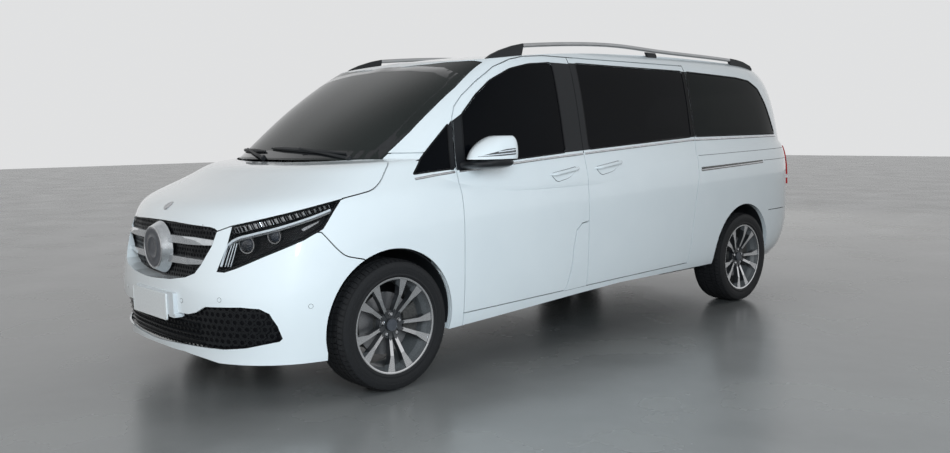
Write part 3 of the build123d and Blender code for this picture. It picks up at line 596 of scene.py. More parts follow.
def side_bar(start_y, end_y, height, onto, section):
    """A strip along the car's side between two stations, at the height that the function gives."""
    tree = caster(onto)
    count = max(2, round((end_y - start_y) / BAR_STEP))
    stations = [start_y + (end_y - start_y) * i / count for i in range(count + 1)]
    path = [landing(tree, "side", y, height(y)) for y in stations]
    return swept(path, section, Vector((1, 0, 0.15)))


for name, start, end, onto, bodies in (
        ("corner_belt_trim", -1.600, -1.332, ("side_frame_left", "front_wings"), ON_BODY),
        ("front_door_belt_trim", -1.302, -0.270, ("front_door_left",), DOORS),
        ("sliding_door_belt_trim", -0.250, 0.985, ("sliding_door_left", "side_frame_left"), ON_BODY),
        ("quarter_belt_trim", 0.998, 2.236, ("side_frame_left",), ON_BODY)):
    strip = side_bar(start, end, lambda y: belt_height(y) - BELT_BELOW_GLASS, onto, BELT_SECTION)
    pair(name, strip, chrome, bodies, "rail")

# ---- door handles ---------------------------------------------------------------------------------
# Body-coloured pull handles, each over a shallow grip cup in the door skin. A fine dark ring round the cup
# is painted shade, standing for the shadow at the cup's edge.
HANDLES = (("front_door", -0.604, -0.339, 1.068, 1.102, ("front_door_left",), DOORS),
           ("sliding_door", -0.173, 0.102, 1.093, 1.126, ("sliding_door_left",), ON_BODY))
HANDLE_SECTION = oval(0.021, 0.016, 14, 0.75)
HANDLE_RISE = 0.010
HANDLE_STEPS = 16
CUP_INSET = (0.975, 0.92)
for name, start, end, start_z, end_z, onto, bodies in HANDLES:
    slope = (end_z - start_z) / (end - start)
    tree = caster(onto)
    cup = [(start + 0.012, start_z), (start + 0.016, start_z + 0.020), (end - 0.020, end_z + 0.018),
           (end - 0.030, end_z - 0.012), (end - 0.095, end_z - 0.050), (start + 0.050, start_z - 0.038)]
    cup = rounded(cup, 0.040, 8)
    # painted shade: a dark ring just proud of the skin, where the edge of the grip cup would fall into shadow
    pair(f"{name}_cup_seam", plate(cup, "side", onto, 0.0006, 0.003, 0.02), rubber, bodies)
    middle = Vector((sum(p[0] for p in cup) / len(cup), sum(p[1] for p in cup) / len(cup)))
    cup = [(middle.x + (y - middle.x) * CUP_INSET[0], middle.y + (z - middle.y) * CUP_INSET[1])
           for y, z in cup]
    pair(f"{name}_cup", plate(cup, "side", onto, 0.0014, 0.003, 0.02), paint, bodies, "paint")
    path, sizes = [], []
    for i in range(HANDLE_STEPS + 1):
        t = i / HANDLE_STEPS
        y = start + (end - start) * t
        ends = min(t, 1 - t) * HANDLE_STEPS / 2.2
        rise = 0.030 * min(1.0, ends) ** 0.5 - 0.004
        path.append(landing(tree, "side", y, start_z + HANDLE_RISE + slope * (y - start), rise))
        sizes.append(0.35 + 0.65 * min(1.0, ends + 0.1) ** 0.5)
    handle = swept(path, HANDLE_SECTION, Vector((1, 0, 0.1)), sizes)
    pair(f"{name}_handle", handle, paint, bodies, "paint", 60)

# ---- sliding-door rail and its cover seams ----------------------------------------------------------
# The door's rear roller runs in a channel in the quarter panel. The slot shows as a black gap with a
# bright lip, and the channel's cover panel as two thin dark joints above and behind it.
RAIL_SLOT = [(0.962, 1.037), (0.962, 1.066), (1.885, 1.096), (1.889, 1.082), (1.885, 1.072)]
pair("rail_slot", plate(RAIL_SLOT, "side", ("side_frame_left",), 0.0008, 0.004, 0.05), black_gloss)
LIP_SECTION = [(-0.0045, -0.002), (0.0045, -0.002), (0.0045, 0.003), (0.0, 0.0045), (-0.0045, 0.003)]
QUARTER = ("side_frame_left",)
rail_lip = side_bar(0.966, 1.880, lambda y: 1.046 + (y - 0.966) * 0.036, QUARTER, LIP_SECTION)
pair("rail_lip", rail_lip, chrome, slot="rail")
SEAM_SECTION = [(-0.0016, -0.002), (0.0016, -0.002), (0.0016, 0.0005), (-0.0016, 0.0005)]
upper_seam = side_bar(1.004, 2.420, lambda y: 1.150 + (y - 0.965) * 0.0255, QUARTER, SEAM_SECTION)
lower_seam = side_bar(1.900, 2.425, lambda y: 1.092 + (y - 1.9) * 0.02, QUARTER, SEAM_SECTION)
pair("rail_cover_seams", join(upper_seam, lower_seam), rubber)

# ---- grille ---------------------------------------------------------------------------------------
# A black honeycomb moulding behind two silver bars, which meet at a turned hub with a plain dark
# cover. The whole is clipped into an opening of the painted bumper.
grille_black = finish("grille_black", ((0.002, 0.002, 0.003), (0.005, 0.005, 0.006)), 0.7, 80.0,
                      sockets={"Specular IOR Level": 0.15})
bar_silver = finish("bar_silver", ((0.58, 0.60, 0.62), (0.70, 0.72, 0.74)), 0.22, 30.0, spread=0.05,
                    sockets={"Metallic": 0.85, "Coat Weight": 0.6, "Coat Roughness": 0.05})
dress("radiator_grille", (grille_black,))
dress("bumper_grille", (grille_black,))
dress("grille_bars", (bar_silver,))


class Recipe:
    """A Geometry Nodes tree under construction, with named inputs."""

    def __init__(self, name, **inputs):
        self.tree = bpy.data.node_groups.new(name, "GeometryNodeTree")
        kinds = {float: "NodeSocketFloat", int: "NodeSocketInt", bpy.types.Object: "NodeSocketObject",
                 bpy.types.Material: "NodeSocketMaterial"}
        self.tree.interface.new_socket("Geometry", in_out="INPUT", socket_type="NodeSocketGeometry")
        self.tree.interface.new_socket("Geometry", in_out="OUTPUT", socket_type="NodeSocketGeometry")
        self.values = {}
        for label, value in inputs.items():
            socket = self.tree.interface.new_socket(label, in_out="INPUT", socket_type=kinds[type(value)])
            self.values[socket.identifier] = value
        self.start = self.tree.nodes.new("NodeGroupInput")
        self.end = self.tree.nodes.new("NodeGroupOutput")

    def add(self, kind, wires=(), **settings):
        """A node, with its settings and its inputs wired or given a value."""
        node = self.tree.nodes.new(kind)
        for label, value in settings.items():
            setattr(node, label, value)
        for socket, source in dict(wires).items():
            if isinstance(source, bpy.types.NodeSocket):
                self.tree.links.new(source, node.inputs[socket])
            else:
                node.inputs[socket].default_value = source
        return node

    def input(self, label):
        """One of the tree's own named sizes."""
        return self.start.outputs[label]

    def grown(self, name, geometry, mat, body="body", slot="black_plastic", sharp=35.0):
        """Realizes the instances, sets the material and makes a plain piece of the result.

        Without a name it gives back the bare shape instead.
        """
        whole = self.add("GeometryNodeRealizeInstances", {"Geometry": geometry})
        coated = self.add("GeometryNodeSetMaterial", {"Geometry": whole.outputs[0], "Material": mat})
        self.tree.links.new(coated.outputs[0], self.end.inputs[0])
        holder = bpy.data.objects.new(name + "_maker", bpy.data.meshes.new(name + "_maker"))
        bpy.context.scene.collection.objects.link(holder)
        modifier = holder.modifiers.new("recipe", "NODES")
        modifier.node_group = self.tree
        for identifier, value in self.values.items():
            modifier[identifier] = value
        holder.update_tag()
        bpy.context.view_layer.update()
        graph = bpy.context.evaluated_depsgraph_get()
        mesh = bpy.data.meshes.new_from_object(holder.evaluated_get(graph))
        holder.modifiers.remove(modifier)
        bpy.data.objects.remove(holder)
        verts = [v.co.copy() for v in mesh.vertices]
        faces = [tuple(face.vertices) for face in mesh.polygons]
        if name:
            return piece(name, verts, faces, mat, body, slot, sharp)
        return verts, faces


BEFORE_THE_CAR = -3.2
ROW_SPACING = 0.866
CELL_REACH = 0.565


def honeycomb(name, target, low, high, pitch, wall, depth, mat):
    """Six-sided cells standing on the front of a CAD panel, one for each point of a staggered grid."""
    columns = int((high[0] - low[0]) / pitch)
    rows = int((high[1] - low[1]) / (pitch * ROW_SPACING))
    recipe = Recipe(name, Panel=nodes[target], Pitch=pitch, Wall=wall, Depth=depth, Columns=columns,
                    Rows=rows)
    grid = recipe.add("GeometryNodeMeshGrid", {
        "Size X": high[0] - low[0], "Size Y": high[1] - low[1],
        "Vertices X": recipe.input("Columns"), "Vertices Y": recipe.input("Rows")})
    index = recipe.add("GeometryNodeInputIndex")
    row = recipe.add("ShaderNodeMath", {0: index.outputs[0], 1: recipe.input("Rows")}, operation="MODULO")
    odd = recipe.add("ShaderNodeMath", {0: row.outputs[0], 1: 2.0}, operation="MODULO")
    half = recipe.add("ShaderNodeMath", {0: recipe.input("Pitch"), 1: 0.5}, operation="MULTIPLY")
    shift = recipe.add("ShaderNodeMath", {0: odd.outputs[0], 1: half.outputs[0]}, operation="MULTIPLY")
    spot = recipe.add("GeometryNodeInputPosition")
    parts = recipe.add("ShaderNodeSeparateXYZ", {0: spot.outputs[0]})
    across = recipe.add("ShaderNodeMath", {0: parts.outputs["X"], 1: shift.outputs[0]}, operation="ADD")
    stood = recipe.add("ShaderNodeCombineXYZ", {
        "X": across.outputs[0], "Y": BEFORE_THE_CAR, "Z": parts.outputs["Y"]})
    moved = recipe.add("GeometryNodeSetPosition", {
        "Geometry": grid.outputs[0], "Position": stood.outputs[0],
        "Offset": ((low[0] + high[0]) / 2, 0.0, (low[1] + high[1]) / 2)})
    panel = recipe.add("GeometryNodeObjectInfo", {"Object": recipe.input("Panel")})
    cast = recipe.add("GeometryNodeRaycast", {
        "Target Geometry": panel.outputs["Geometry"], "Ray Direction": (0.0, 1.0, 0.0), "Ray Length": 2.0})
    missed = recipe.add("FunctionNodeBooleanMath", {0: cast.outputs["Is Hit"]}, operation="NOT")
    kept_normal = recipe.add("GeometryNodeStoreNamedAttribute", {
        "Geometry": moved.outputs[0], "Name": "facing", "Value": cast.outputs["Hit Normal"]},
        data_type="FLOAT_VECTOR", domain="POINT")
    kept_miss = recipe.add("GeometryNodeStoreNamedAttribute", {
        "Geometry": kept_normal.outputs[0], "Name": "missed", "Value": missed.outputs[0]},
        data_type="BOOLEAN", domain="POINT")
    landed = recipe.add("GeometryNodeSetPosition", {
        "Geometry": kept_miss.outputs[0], "Selection": cast.outputs["Is Hit"],
        "Position": cast.outputs["Hit Position"]})
    read_miss = recipe.add("GeometryNodeInputNamedAttribute", {"Name": "missed"}, data_type="BOOLEAN")
    points = recipe.add("GeometryNodeDeleteGeometry", {
        "Geometry": landed.outputs[0], "Selection": read_miss.outputs[0]}, domain="POINT")
    facing = recipe.add("GeometryNodeInputNamedAttribute", {"Name": "facing"}, data_type="FLOAT_VECTOR")
    turn = recipe.add("FunctionNodeAlignRotationToVector", {"Vector": facing.outputs[0]}, axis="Z")
    reach = recipe.add("ShaderNodeMath", {0: recipe.input("Pitch"), 1: CELL_REACH}, operation="MULTIPLY")
    outline = recipe.add("GeometryNodeCurvePrimitiveCircle", {"Resolution": 6, "Radius": reach.outputs[0]})
    profile = recipe.add("GeometryNodeCurvePrimitiveQuadrilateral", {
        "Width": recipe.input("Depth"), "Height": recipe.input("Wall")})
    cell = recipe.add("GeometryNodeCurveToMesh", {
        "Curve": outline.outputs[0], "Profile Curve": profile.outputs[0]})
    spun = recipe.add("GeometryNodeTransform", {
        "Geometry": cell.outputs[0], "Rotation": (0.0, 0.0, math.radians(30))})
    cells = recipe.add("GeometryNodeInstanceOnPoints", {
        "Points": points.outputs[0], "Instance": spun.outputs[0], "Rotation": turn.outputs[0]})
    return recipe.grown(name, cells.outputs[0], mat)


comb_black = finish("comb_black", ((0.006, 0.0065, 0.007), (0.012, 0.0125, 0.014)), 0.28, 120.0,
                    sockets={"Specular IOR Level": 0.3})
honeycomb("grille_comb", "radiator_grille", (-0.490, 0.622), (0.490, 0.880), 0.024, 0.0026, 0.008, comb_black)


def turned(profile, origin, axis, count=48):
    """A closed solid of revolution; profile is (along the axis, radius) from back to front."""
    axis = Vector(axis).normalized()
    side = axis.cross(Vector((0.0, 0.0, 1.0)))
    side = side.normalized() if side.length > 0.1 else Vector((1.0, 0.0, 0.0))
    other = axis.cross(side)
    verts, faces, rings = [], [], []
    for along, radius in profile:
        centre = Vector(origin) + axis * along
        if radius < 1e-6:
            rings.append([len(verts)])
            verts.append(centre)
            continue
        rings.append(list(range(len(verts), len(verts) + count)))
        verts += [centre + (side * math.cos(t) + other * math.sin(t)) * radius
                  for t in (2 * math.pi * i / count for i in range(count))]
    for a, b in zip(rings, rings[1:]):
        for i in range(count):
            n = (i + 1) % count
            if len(a) == 1:
                faces.append((a[0], b[i], b[n]))
            elif len(b) == 1:
                faces.append((a[i], b[0], a[n]))
            else:
                faces.append((a[i], a[n], b[n], b[i]))
    for ring in (rings[0], rings[-1]):
        if len(ring) > 1 and profile[0] != profile[-1]:
            faces.append(tuple(ring))
    return verts, faces


HUB = Vector((0.0, -2.650, 0.758))
FRONT = (0.0, -1.0, 0.0)
hub_cover = finish("hub_cover", ((0.050, 0.053, 0.062), (0.070, 0.073, 0.083)), 0.25, 14.0,
                   sockets={"Coat Weight": 0.25, "Coat Roughness": 0.05, "Specular IOR Level": 0.25})
BEZEL_PROFILE = [(-0.004, 0.0), (-0.004, 0.1115), (0.0015, 0.1125), (0.005, 0.109), (0.005, 0.103),
                 (0.0015, 0.101), (0.0015, 0.0)]
COVER_PROFILE = [(0.0, 0.0), (0.0, 0.100), (0.003, 0.0995), (0.0045, 0.094), (0.0035, 0.088), (0.0035, 0.060),
                 (0.0045, 0.058), (0.0045, 0.052), (0.0035, 0.050), (0.005, 0.018), (0.0055, 0.0)]
piece("hub_bezel", *turned(BEZEL_PROFILE, HUB, FRONT, 72), chrome, slot="rail")
piece("hub_cover", *turned(COVER_PROFILE, HUB, FRONT, 72), hub_cover, slot="black_plastic")

# ---- lower intake -------------------------------------------------------------------------------------
# The moulded insert of the bumper has the same honeycomb as the grille, in wider cells, and six slats
# close its middle.
honeycomb("intake_comb", "bumper_grille", (-0.795, 0.296), (0.795, 0.498), 0.032, 0.0034, 0.010, comb_black)
SLAT_COUNT, LOWEST_SLAT, SLAT_SPACING, SLAT_HALF = 6, 0.302, 0.026, 0.42
slats = []
tree = caster(("bumper_grille",))
for i in range(SLAT_COUNT):
    height = LOWEST_SLAT + i * SLAT_SPACING
    path = [landing(tree, "front", x / 20 * SLAT_HALF, height, 0.004) for x in range(-20, 21)]
    slats.append(swept(path, oval(0.009, 0.024, 8), Vector(FRONT)))
piece("intake_slats", *join(*slats), comb_black)

# ---- front plate --------------------------------------------------------------------------------------
# A blank pressed plate with a raised rim stands on a moulded holder, which is screwed to the bumper
# and shows beside it on the car's left.
plate_white = finish("plate_white", ((0.72, 0.73, 0.73), (0.78, 0.79, 0.79)), 0.35, 90.0, bump=0.03)
holder_grey = finish("plate_holder", ((0.62, 0.65, 0.67), (0.68, 0.71, 0.73)), 0.45, 300.0, bump=0.1)


def slab(x, y, z, radius):
    """A plate standing across the car with round corners, as (lowest, highest) on each axis."""
    outline = rounded([(x[0], z[0]), (x[1], z[0]), (x[1], z[1]), (x[0], z[1])], radius, 4)
    count = len(outline)
    verts = [Vector((u, depth, v)) for depth in y for u, v in outline]
    faces = [tuple(range(count)), tuple(reversed(range(count, 2 * count)))]
    faces += [(i, (i + 1) % count, count + (i + 1) % count, count + i) for i in range(count)]
    return verts, faces


holder = join(slab((-0.150, 0.300), (-2.690, -2.640), (0.440, 0.556), 0.012),
              slab((0.240, 0.312), (-2.688, -2.640), (0.430, 0.452), 0.006))
piece("plate_holder", *holder, holder_grey, slot="paint")
RIM_DEPTH, RIM_RADIUS = (-2.7005, -2.6985), 0.001
rim_sides = [slab((-0.172, 0.232), RIM_DEPTH, (0.414, 0.418), RIM_RADIUS),
             slab((-0.172, 0.232), RIM_DEPTH, (0.537, 0.541), RIM_RADIUS),
             slab((-0.172, -0.168), RIM_DEPTH, (0.416, 0.539), RIM_RADIUS),
             slab((0.228, 0.232), RIM_DEPTH, (0.416, 0.539), RIM_RADIUS)]
front_plate = slab((-0.176, 0.236), (-2.6995, -2.6915), (0.410, 0.545), 0.012)
piece("front_plate", *front_plate, plate_white, slot="paint")
piece("front_plate_edge", *join(*rim_sides), plate_white, slot="paint")

# ---- parking sensors and bonnet disc --------------------------------------------------------------------
# Painted ultrasonic sensors are set flush in both bumpers, each in a fine dark gap. A plain silver
# disc stands on the nose of the bonnet.


def disc_on(view, onto, u, v, radius, rise, count=24):
    """A low dished disc that stands square on the panels."""
    tree = caster(onto)
    centre = landing(tree, view, u, v)
    out = VIEWS[view][2]
    a = landing(tree, view, u + 0.01, v) - centre
    b = landing(tree, view, u, v + 0.01) - centre
    normal = a.cross(b).normalized()
    normal = normal if normal.dot(out) > 0 else -normal
    profile = [(-0.004, 0.0), (-0.004, radius), (rise * 0.6, radius), (rise, radius * 0.9),
               (rise, radius * 0.8), (rise * 0.7, radius * 0.74), (rise * 0.85, 0.0)]
    return turned(profile, centre, normal, count)


SENSOR_SPOTS = (("front", "front_bumper", 0.336, 0.520), ("front", "front_bumper", 0.590, 0.545),
                ("side", "front_bumper", -2.262, 0.508), ("rear", "rear_bumper", 0.250, 0.452),
                ("rear", "rear_bumper", 0.580, 0.462))
sensors = [disc_on(view, (panel,), u, v, 0.0105, 0.0014) for view, panel, u, v in SENSOR_SPOTS]
sensor_gaps = [disc_on(view, (panel,), u, v, 0.0122, 0.0004) for view, panel, u, v in SENSOR_SPOTS]
piece("parking_sensors", *both(join(*sensors)), paint, slot="paint")
piece("sensor_gaps", *both(join(*sensor_gaps)), rubber)
nose_disc = disc_on("front", ("bonnet",), 0.0, 0.972, 0.030, 0.003, 40)
piece("bonnet_disc", *nose_disc, satin_silver, "bonnet", "rail")

# ---- headlamps ------------------------------------------------------------------------------------
# A clear polycarbonate lens over a dark bowl: a row of bright facets along the top, a light guide that
# runs along the inner edge and sweeps out to the tip, and two projector lenses in round bezels.
lamp_lens = finish("lamp_lens", ((0.010, 0.011, 0.012), (0.014, 0.015, 0.016)), 0.02, 3.0, spread=0.01,
                   sockets={"Alpha": 0.10, "Specular IOR Level": 0.35})
lamp_bowl = finish("lamp_bowl", ((0.003, 0.0035, 0.004), (0.008, 0.0085, 0.010)), 0.3, 40.0,
                   sockets={"Specular IOR Level": 0.25})
light_guide = finish("light_guide", ((0.74, 0.77, 0.80), (0.84, 0.87, 0.90)), 0.12, 60.0,
                     sockets={"Coat Weight": 1.0, "Coat Roughness": 0.03})
projector = finish("projector_glass", ((0.010, 0.012, 0.016), (0.035, 0.042, 0.055)), 0.03, 10.0, spread=0.02,
                   sockets={"Coat Weight": 1.0, "Coat Roughness": 0.01, "Specular IOR Level": 0.8})
dress("headlamps", (lamp_lens,))
dress("lamp_housings", (lamp_bowl,))
lens_tree = caster(("headlamps",))
LAMP_OUT = VIEWS["lamp"][2]


def in_lamp(points, depth, count):
    """A smooth line in the lamp, at a depth behind the outer face of its lens."""
    flat = smooth_line([(u, v, 0) for u, v in points], count)
    return [landing(lens_tree, "lamp", p[0], p[1], -depth) for p in flat]


TOP_GUIDE = [(-1.896, 0.852), (-1.860, 0.872), (-1.780, 0.892), (-1.640, 0.925), (-1.500, 0.958),
             (-1.392, 0.986)]
EYEBROW = [(-1.932, 0.702), (-1.912, 0.758), (-1.890, 0.808), (-1.850, 0.836), (-1.780, 0.856),
           (-1.640, 0.890), (-1.500, 0.930), (-1.400, 0.964)]
facets = []
strip = in_lamp(TOP_GUIDE, 0.020, 44)
for i, point in enumerate(strip[:-1]):
    along = (strip[i + 1] - point).normalized()
    tall = 0.036 * (1.0 - 0.40 * i / len(strip))
    slant = Vector((0, 0, 1)) * tall - along * tall * 0.45
    half = along * (strip[i + 1] - point).length * (0.40 if i % 2 else 0.22)
    base = [point - half - slant * 0.5, point + half - slant * 0.5, point + half + slant * 0.5,
            point - half + slant * 0.5]
    ridge = [corner - LAMP_OUT * 0.006 for corner in base]
    peak = [point + LAMP_OUT * 0.005 - slant * 0.3, point + LAMP_OUT * 0.005 + slant * 0.3]
    facets.append((ridge + base + peak, [(3, 2, 1, 0), (0, 1, 5, 4), (1, 2, 6, 5), (2, 3, 7, 6), (3, 0, 4, 7),
                                         (4, 5, 8), (5, 6, 9, 8), (6, 7, 9), (7, 4, 8, 9)]))
lamp_chrome = finish("lamp_chrome", ((0.60, 0.62, 0.64), (0.86, 0.88, 0.90)), 0.08, 160.0, spread=0.05,
                     sockets={"Metallic": 1.0})
piece("led_facets", *both(join(*facets)), lamp_chrome, slot="lamp", sharp=12)
guides = [swept(in_lamp(EYEBROW, 0.014, 60), oval(0.012, 0.006, 8), LAMP_OUT)]
for i in range(3):
    shift = 0.013 * (i + 1)
    inner = [(-1.926 + shift, 0.700), (-1.906 + shift, 0.762), (-1.884 + shift * 0.8, 0.812)]
    guides.append(swept(in_lamp(inner, 0.022 + 0.003 * i, 16), oval(0.005, 0.006, 6), LAMP_OUT))
piece("lamp_light_guides", *both(join(*guides)), light_guide, slot="lamp")
shelf = swept(in_lamp([(u, v - 0.012) for u, v in EYEBROW[2:]], 0.036, 40), oval(0.012, 0.040, 10), LAMP_OUT)
piece("lamp_shelves", *both(shelf), satin_silver, slot="lamp")
bezels, balls = [], []
for u, v, radius in ((-1.800, 0.806, 0.036), (-1.668, 0.846, 0.031)):
    centre = landing(lens_tree, "lamp", u, v, -0.052)
    facing = Vector((0.45, -0.89, 0.0))
    bezel = [(0.0, radius * 0.4), (0.0, radius * 1.22), (0.014, radius * 1.22), (0.014, radius * 1.08),
             (0.004, radius * 0.96), (0.002, radius * 0.4)]
    bezels.append(turned(bezel, centre, facing, 40))
    dome = [(0.0, 0.0), (0.0, radius)]
    dome += [(0.004 + radius * 0.6 * math.sin(t * math.pi / 16), radius * 0.97 * math.cos(t * math.pi / 16))
             for t in range(8)]
    dome.append((0.004 + radius * 0.6, 0.0))
    balls.append(turned(dome, centre, facing, 36))
piece("projector_bezels", *both(join(*bezels)), lamp_chrome, slot="lamp")
piece("projector_lenses", *both(join(*balls)), projector, slot="lamp")
TURN = [(-1.535, 0.866), (-1.462, 0.904), (-1.458, 0.912), (-1.530, 0.884), (-1.545, 0.874)]
flat_lamp = [landing(lens_tree, "lamp", u, v, -0.034) for u, v in TURN]
count = len(flat_lamp)
wedge = (flat_lamp + [p - LAMP_OUT * 0.008 for p in flat_lamp],
         [tuple(range(count)), tuple(reversed(range(count, 2 * count)))]
         + [(i, (i + 1) % count, count + (i + 1) % count, count + i) for i in range(count)])
piece("turn_reflectors", *both(wedge), satin_silver, slot="lamp")

# ---- mirrors --------------------------------------------------------------------------------------
# A painted cap on a black arm bolted to the door. A slim dark indicator with two bright blades wraps
# its outer end, and the glass faces back.
indicator_dark = finish("indicator_dark", ((0.045, 0.05, 0.055), (0.07, 0.075, 0.08)), 0.08, 60.0,
                        sockets={"Coat Weight": 1.0, "Coat Roughness": 0.02})
mirror_glass = finish("mirror_glass", ((0.70, 0.72, 0.74), (0.76, 0.78, 0.80)), 0.02, 5.0, spread=0.01,
                      sockets={"Metallic": 1.0})


RAKE = 0.105


def raked(node):
    """A copy of a CAD shell with its front drawn back towards the top."""
    low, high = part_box(node)
    verts = []
    for v in nodes[node].data.vertices:
        rise = max((v.co.z - low.z) / (high.z - low.z), 0.0)
        front = 1 - (v.co.y - low.y) / (high.y - low.y)
        verts.append(Vector((v.co.x, v.co.y + RAKE * front * rise ** 1.4, v.co.z)))
    return verts, [tuple(face.vertices) for face in nodes[node].data.polygons]


caps = {}
for side in ("left", "right"):
    shell = raked(f"mirror_cap_{side}")
    caps[side] = piece(f"mirror_shell_{side}", *shell, paint, f"front_door_{side}", "paint", 40)
    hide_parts(f"mirror_cap_{side}")
nodes["mirror_shell_left"] = caps["left"]
cap_tree = caster(("mirror_shell_left",))
INDICATOR = [(-0.176, 1.204), (-0.040, 1.207), (0.034, 1.212), (0.034, 1.248), (-0.020, 1.243),
             (-0.085, 1.226)]
indicator = plate(rounded(INDICATOR, 0.006), "corner", ("mirror_shell_left",), 0.0010, 0.004, 0.015)
pair("indicator", indicator, indicator_dark, DOORS, "lamp")
BLADE_OUT = Vector((0.707, -0.707, 0))
blades = []
for start, length, height, steps, thick in ((-0.165, 0.197, 1.2080, 14, 0.004),
                                            (-0.060, 0.092, 1.2290, 10, 0.003)):
    line = [landing(cap_tree, "corner", start + i * length / steps, height + i * 0.0010, 0.002)
            for i in range(steps + 1)]
    blades.append(swept(line, oval(0.0050, thick, 8), BLADE_OUT))
pair("indicator_blades", join(*blades), light_guide, DOORS, "rail")

mirror_base = finish("mirror_base", ((0.010, 0.0105, 0.012), (0.016, 0.017, 0.019)), 0.3, 500.0, bump=0.05)
ARM_SECTIONS = ((0.906, -1.236, 1.156, 0.112, 0.046), (0.930, -1.222, 1.158, 0.122, 0.046),
                (0.960, -1.200, 1.160, 0.170, 0.050), (1.000, -1.184, 1.161, 0.216, 0.052),
                (1.050, -1.174, 1.162, 0.226, 0.051), (1.088, -1.168, 1.165, 0.208, 0.044),
                (1.108, -1.163, 1.169, 0.170, 0.034), (1.117, -1.158, 1.173, 0.120, 0.022))
ARM_RING = 20
verts, faces = [], []
for x, y, z, wide, tall in ARM_SECTIONS:
    verts += [Vector((x, y + a, z + b)) for a, b in oval(wide, tall, ARM_RING, 0.7)]
for i in range(0, len(verts) - ARM_RING, ARM_RING):
    for k in range(ARM_RING):
        n = (k + 1) % ARM_RING
        faces.append((i + k, i + n, i + ARM_RING + n, i + ARM_RING + k))
faces += [tuple(reversed(range(ARM_RING))), tuple(range(len(verts) - ARM_RING, len(verts)))]
for side, part in (("left", (verts, faces)), ("right", mirrored(verts, faces))):
    arm = piece(f"mirror_arm_{side}", *part, mirror_base, f"front_door_{side}", "black_plastic", 50)
    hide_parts(f"mirror_foot_{side}")
MIRROR_FACE = [(0.968, 1.198), (1.098, 1.198), (1.100, 1.262), (1.082, 1.288), (0.990, 1.290), (0.968, 1.270)]
mirror_pane = plate(rounded(MIRROR_FACE, 0.02), "rear", ("mirror_shell_left",), 0.0010, 0.003, 0.02)
pair("mirror_glass", mirror_pane, mirror_glass, DOORS, "glass")

# ---- wipers -----------------------------------------------------------------------------------------
# Two flat-blade wipers, parked along the foot of the screen on arms that turn on spindles in the
# scuttle. The blades are rubber in a sprung carrier, and thin out to their ends.
screen_tree = caster(("windscreen",))
BLADE_STEPS = 24
BLADE_SECTION = [(-0.004, -0.008), (0.004, -0.008), (0.011, 0.002), (0.006, 0.012), (-0.006, 0.012),
                 (-0.011, 0.002)]
SPINDLE_PROFILE = [(-0.010, 0.0), (-0.010, 0.017), (0.010, 0.017), (0.014, 0.013), (0.014, 0.0)]
FROM_SCREEN = Vector((0, -0.8, 0.6))
taper = [0.5 + 0.5 * min(1.0, min(i, BLADE_STEPS - i) / 5) for i in range(BLADE_STEPS + 1)]
wiper_parts = []
for pivot_x, start_x, end_x in ((0.600, 0.560, -0.080), (-0.060, -0.120, -0.640)):
    blade_line = []
    for i in range(BLADE_STEPS + 1):
        x = start_x + (end_x - start_x) * i / BLADE_STEPS
        height = 1.222 + 0.020 * (1 - (x / 0.7) ** 2) + 0.016 * i / BLADE_STEPS
        blade_line.append(landing(screen_tree, "front", x, height, 0.010))
    wiper_parts.append(swept(blade_line, BLADE_SECTION, FROM_SCREEN, taper))
    pivot = landing(screen_tree, "front", pivot_x, 1.204, 0.012)
    middle = blade_line[BLADE_STEPS // 2] + Vector((0, -0.014, 0.012))
    elbow = pivot.lerp(middle, 0.35) + Vector((0, -0.012, 0.004))
    arm = smooth_line([pivot, elbow, middle], 14)
    thinning = [1.15 - 0.5 * i / 14 for i in range(15)]
    wiper_parts.append(swept(arm, oval(0.018, 0.012, 8, 0.8), FROM_SCREEN, thinning))
    wiper_parts.append(turned(SPINDLE_PROFILE, pivot, (0.0, -0.6, 0.8), 20))
piece("screen_wipers", *join(*wiper_parts), black_moulded)

# ---- wheels -----------------------------------------------------------------------------------------
# Cast alloy rims with five pairs of spokes, dark enamel with machined outer faces, five bolts and a
# plain cap; the tyres are low-profile radials with blocked tread. Cast brake discs show behind.
enamel = finish("rim_enamel", ((0.060, 0.063, 0.068), (0.085, 0.088, 0.094)), 0.30, 200.0,
                sockets={"Metallic": 0.7, "Coat Weight": 0.6, "Coat Roughness": 0.08})
machined = finish("machined_alloy", ((0.66, 0.67, 0.69), (0.80, 0.81, 0.83)), 0.17, 420.0, spread=0.06,
                  sockets={"Metallic": 1.0, "Coat Weight": 0.4, "Coat Roughness": 0.05})
disc_steel = finish("disc_steel", ((0.26, 0.26, 0.27), (0.38, 0.38, 0.39)), 0.34, 260.0, bump=0.1,
                    sockets={"Metallic": 0.9})
tyre_rubber = finish("tyre_rubber", ((0.012, 0.012, 0.013), (0.021, 0.021, 0.022)), 0.62, 240.0, bump=0.25,
                     sockets={"Specular IOR Level": 0.3})
cast_iron = finish("cast_iron", ((0.045, 0.043, 0.041), (0.085, 0.080, 0.075)), 0.68, 120.0, bump=0.5)
barrel_silver = finish("barrel_silver", ((0.20, 0.205, 0.21), (0.27, 0.275, 0.28)), 0.34, 160.0,
                       sockets={"Metallic": 0.55})
BARE_RADIUS, BARREL_RADIUS, SPOKE_FACE_OUT = 0.078, 0.205, 0.068
tread_mesh = bpy.data.meshes.new("tread_segment")
TOP_RADIUS, GROOVE_RADIUS, BLOCK_ROOT, BLOCK_HALF = 0.3448, 0.3375, 0.004, 0.0128
BLOCKS = ((-0.115, -0.078), (-0.069, -0.034), (-0.026, 0.026), (0.034, 0.069), (0.078, 0.115))
CROWN_HALF, CROWN_FALL, BLOCK_SKEW = 0.076, 9.5, 0.004


def tread_radius(x):
    """The tyre's crown: flat in the middle, rounded down to the shoulders."""
    past = max(abs(x) - CROWN_HALF, 0.0)
    return TOP_RADIUS - CROWN_FALL * past ** 2


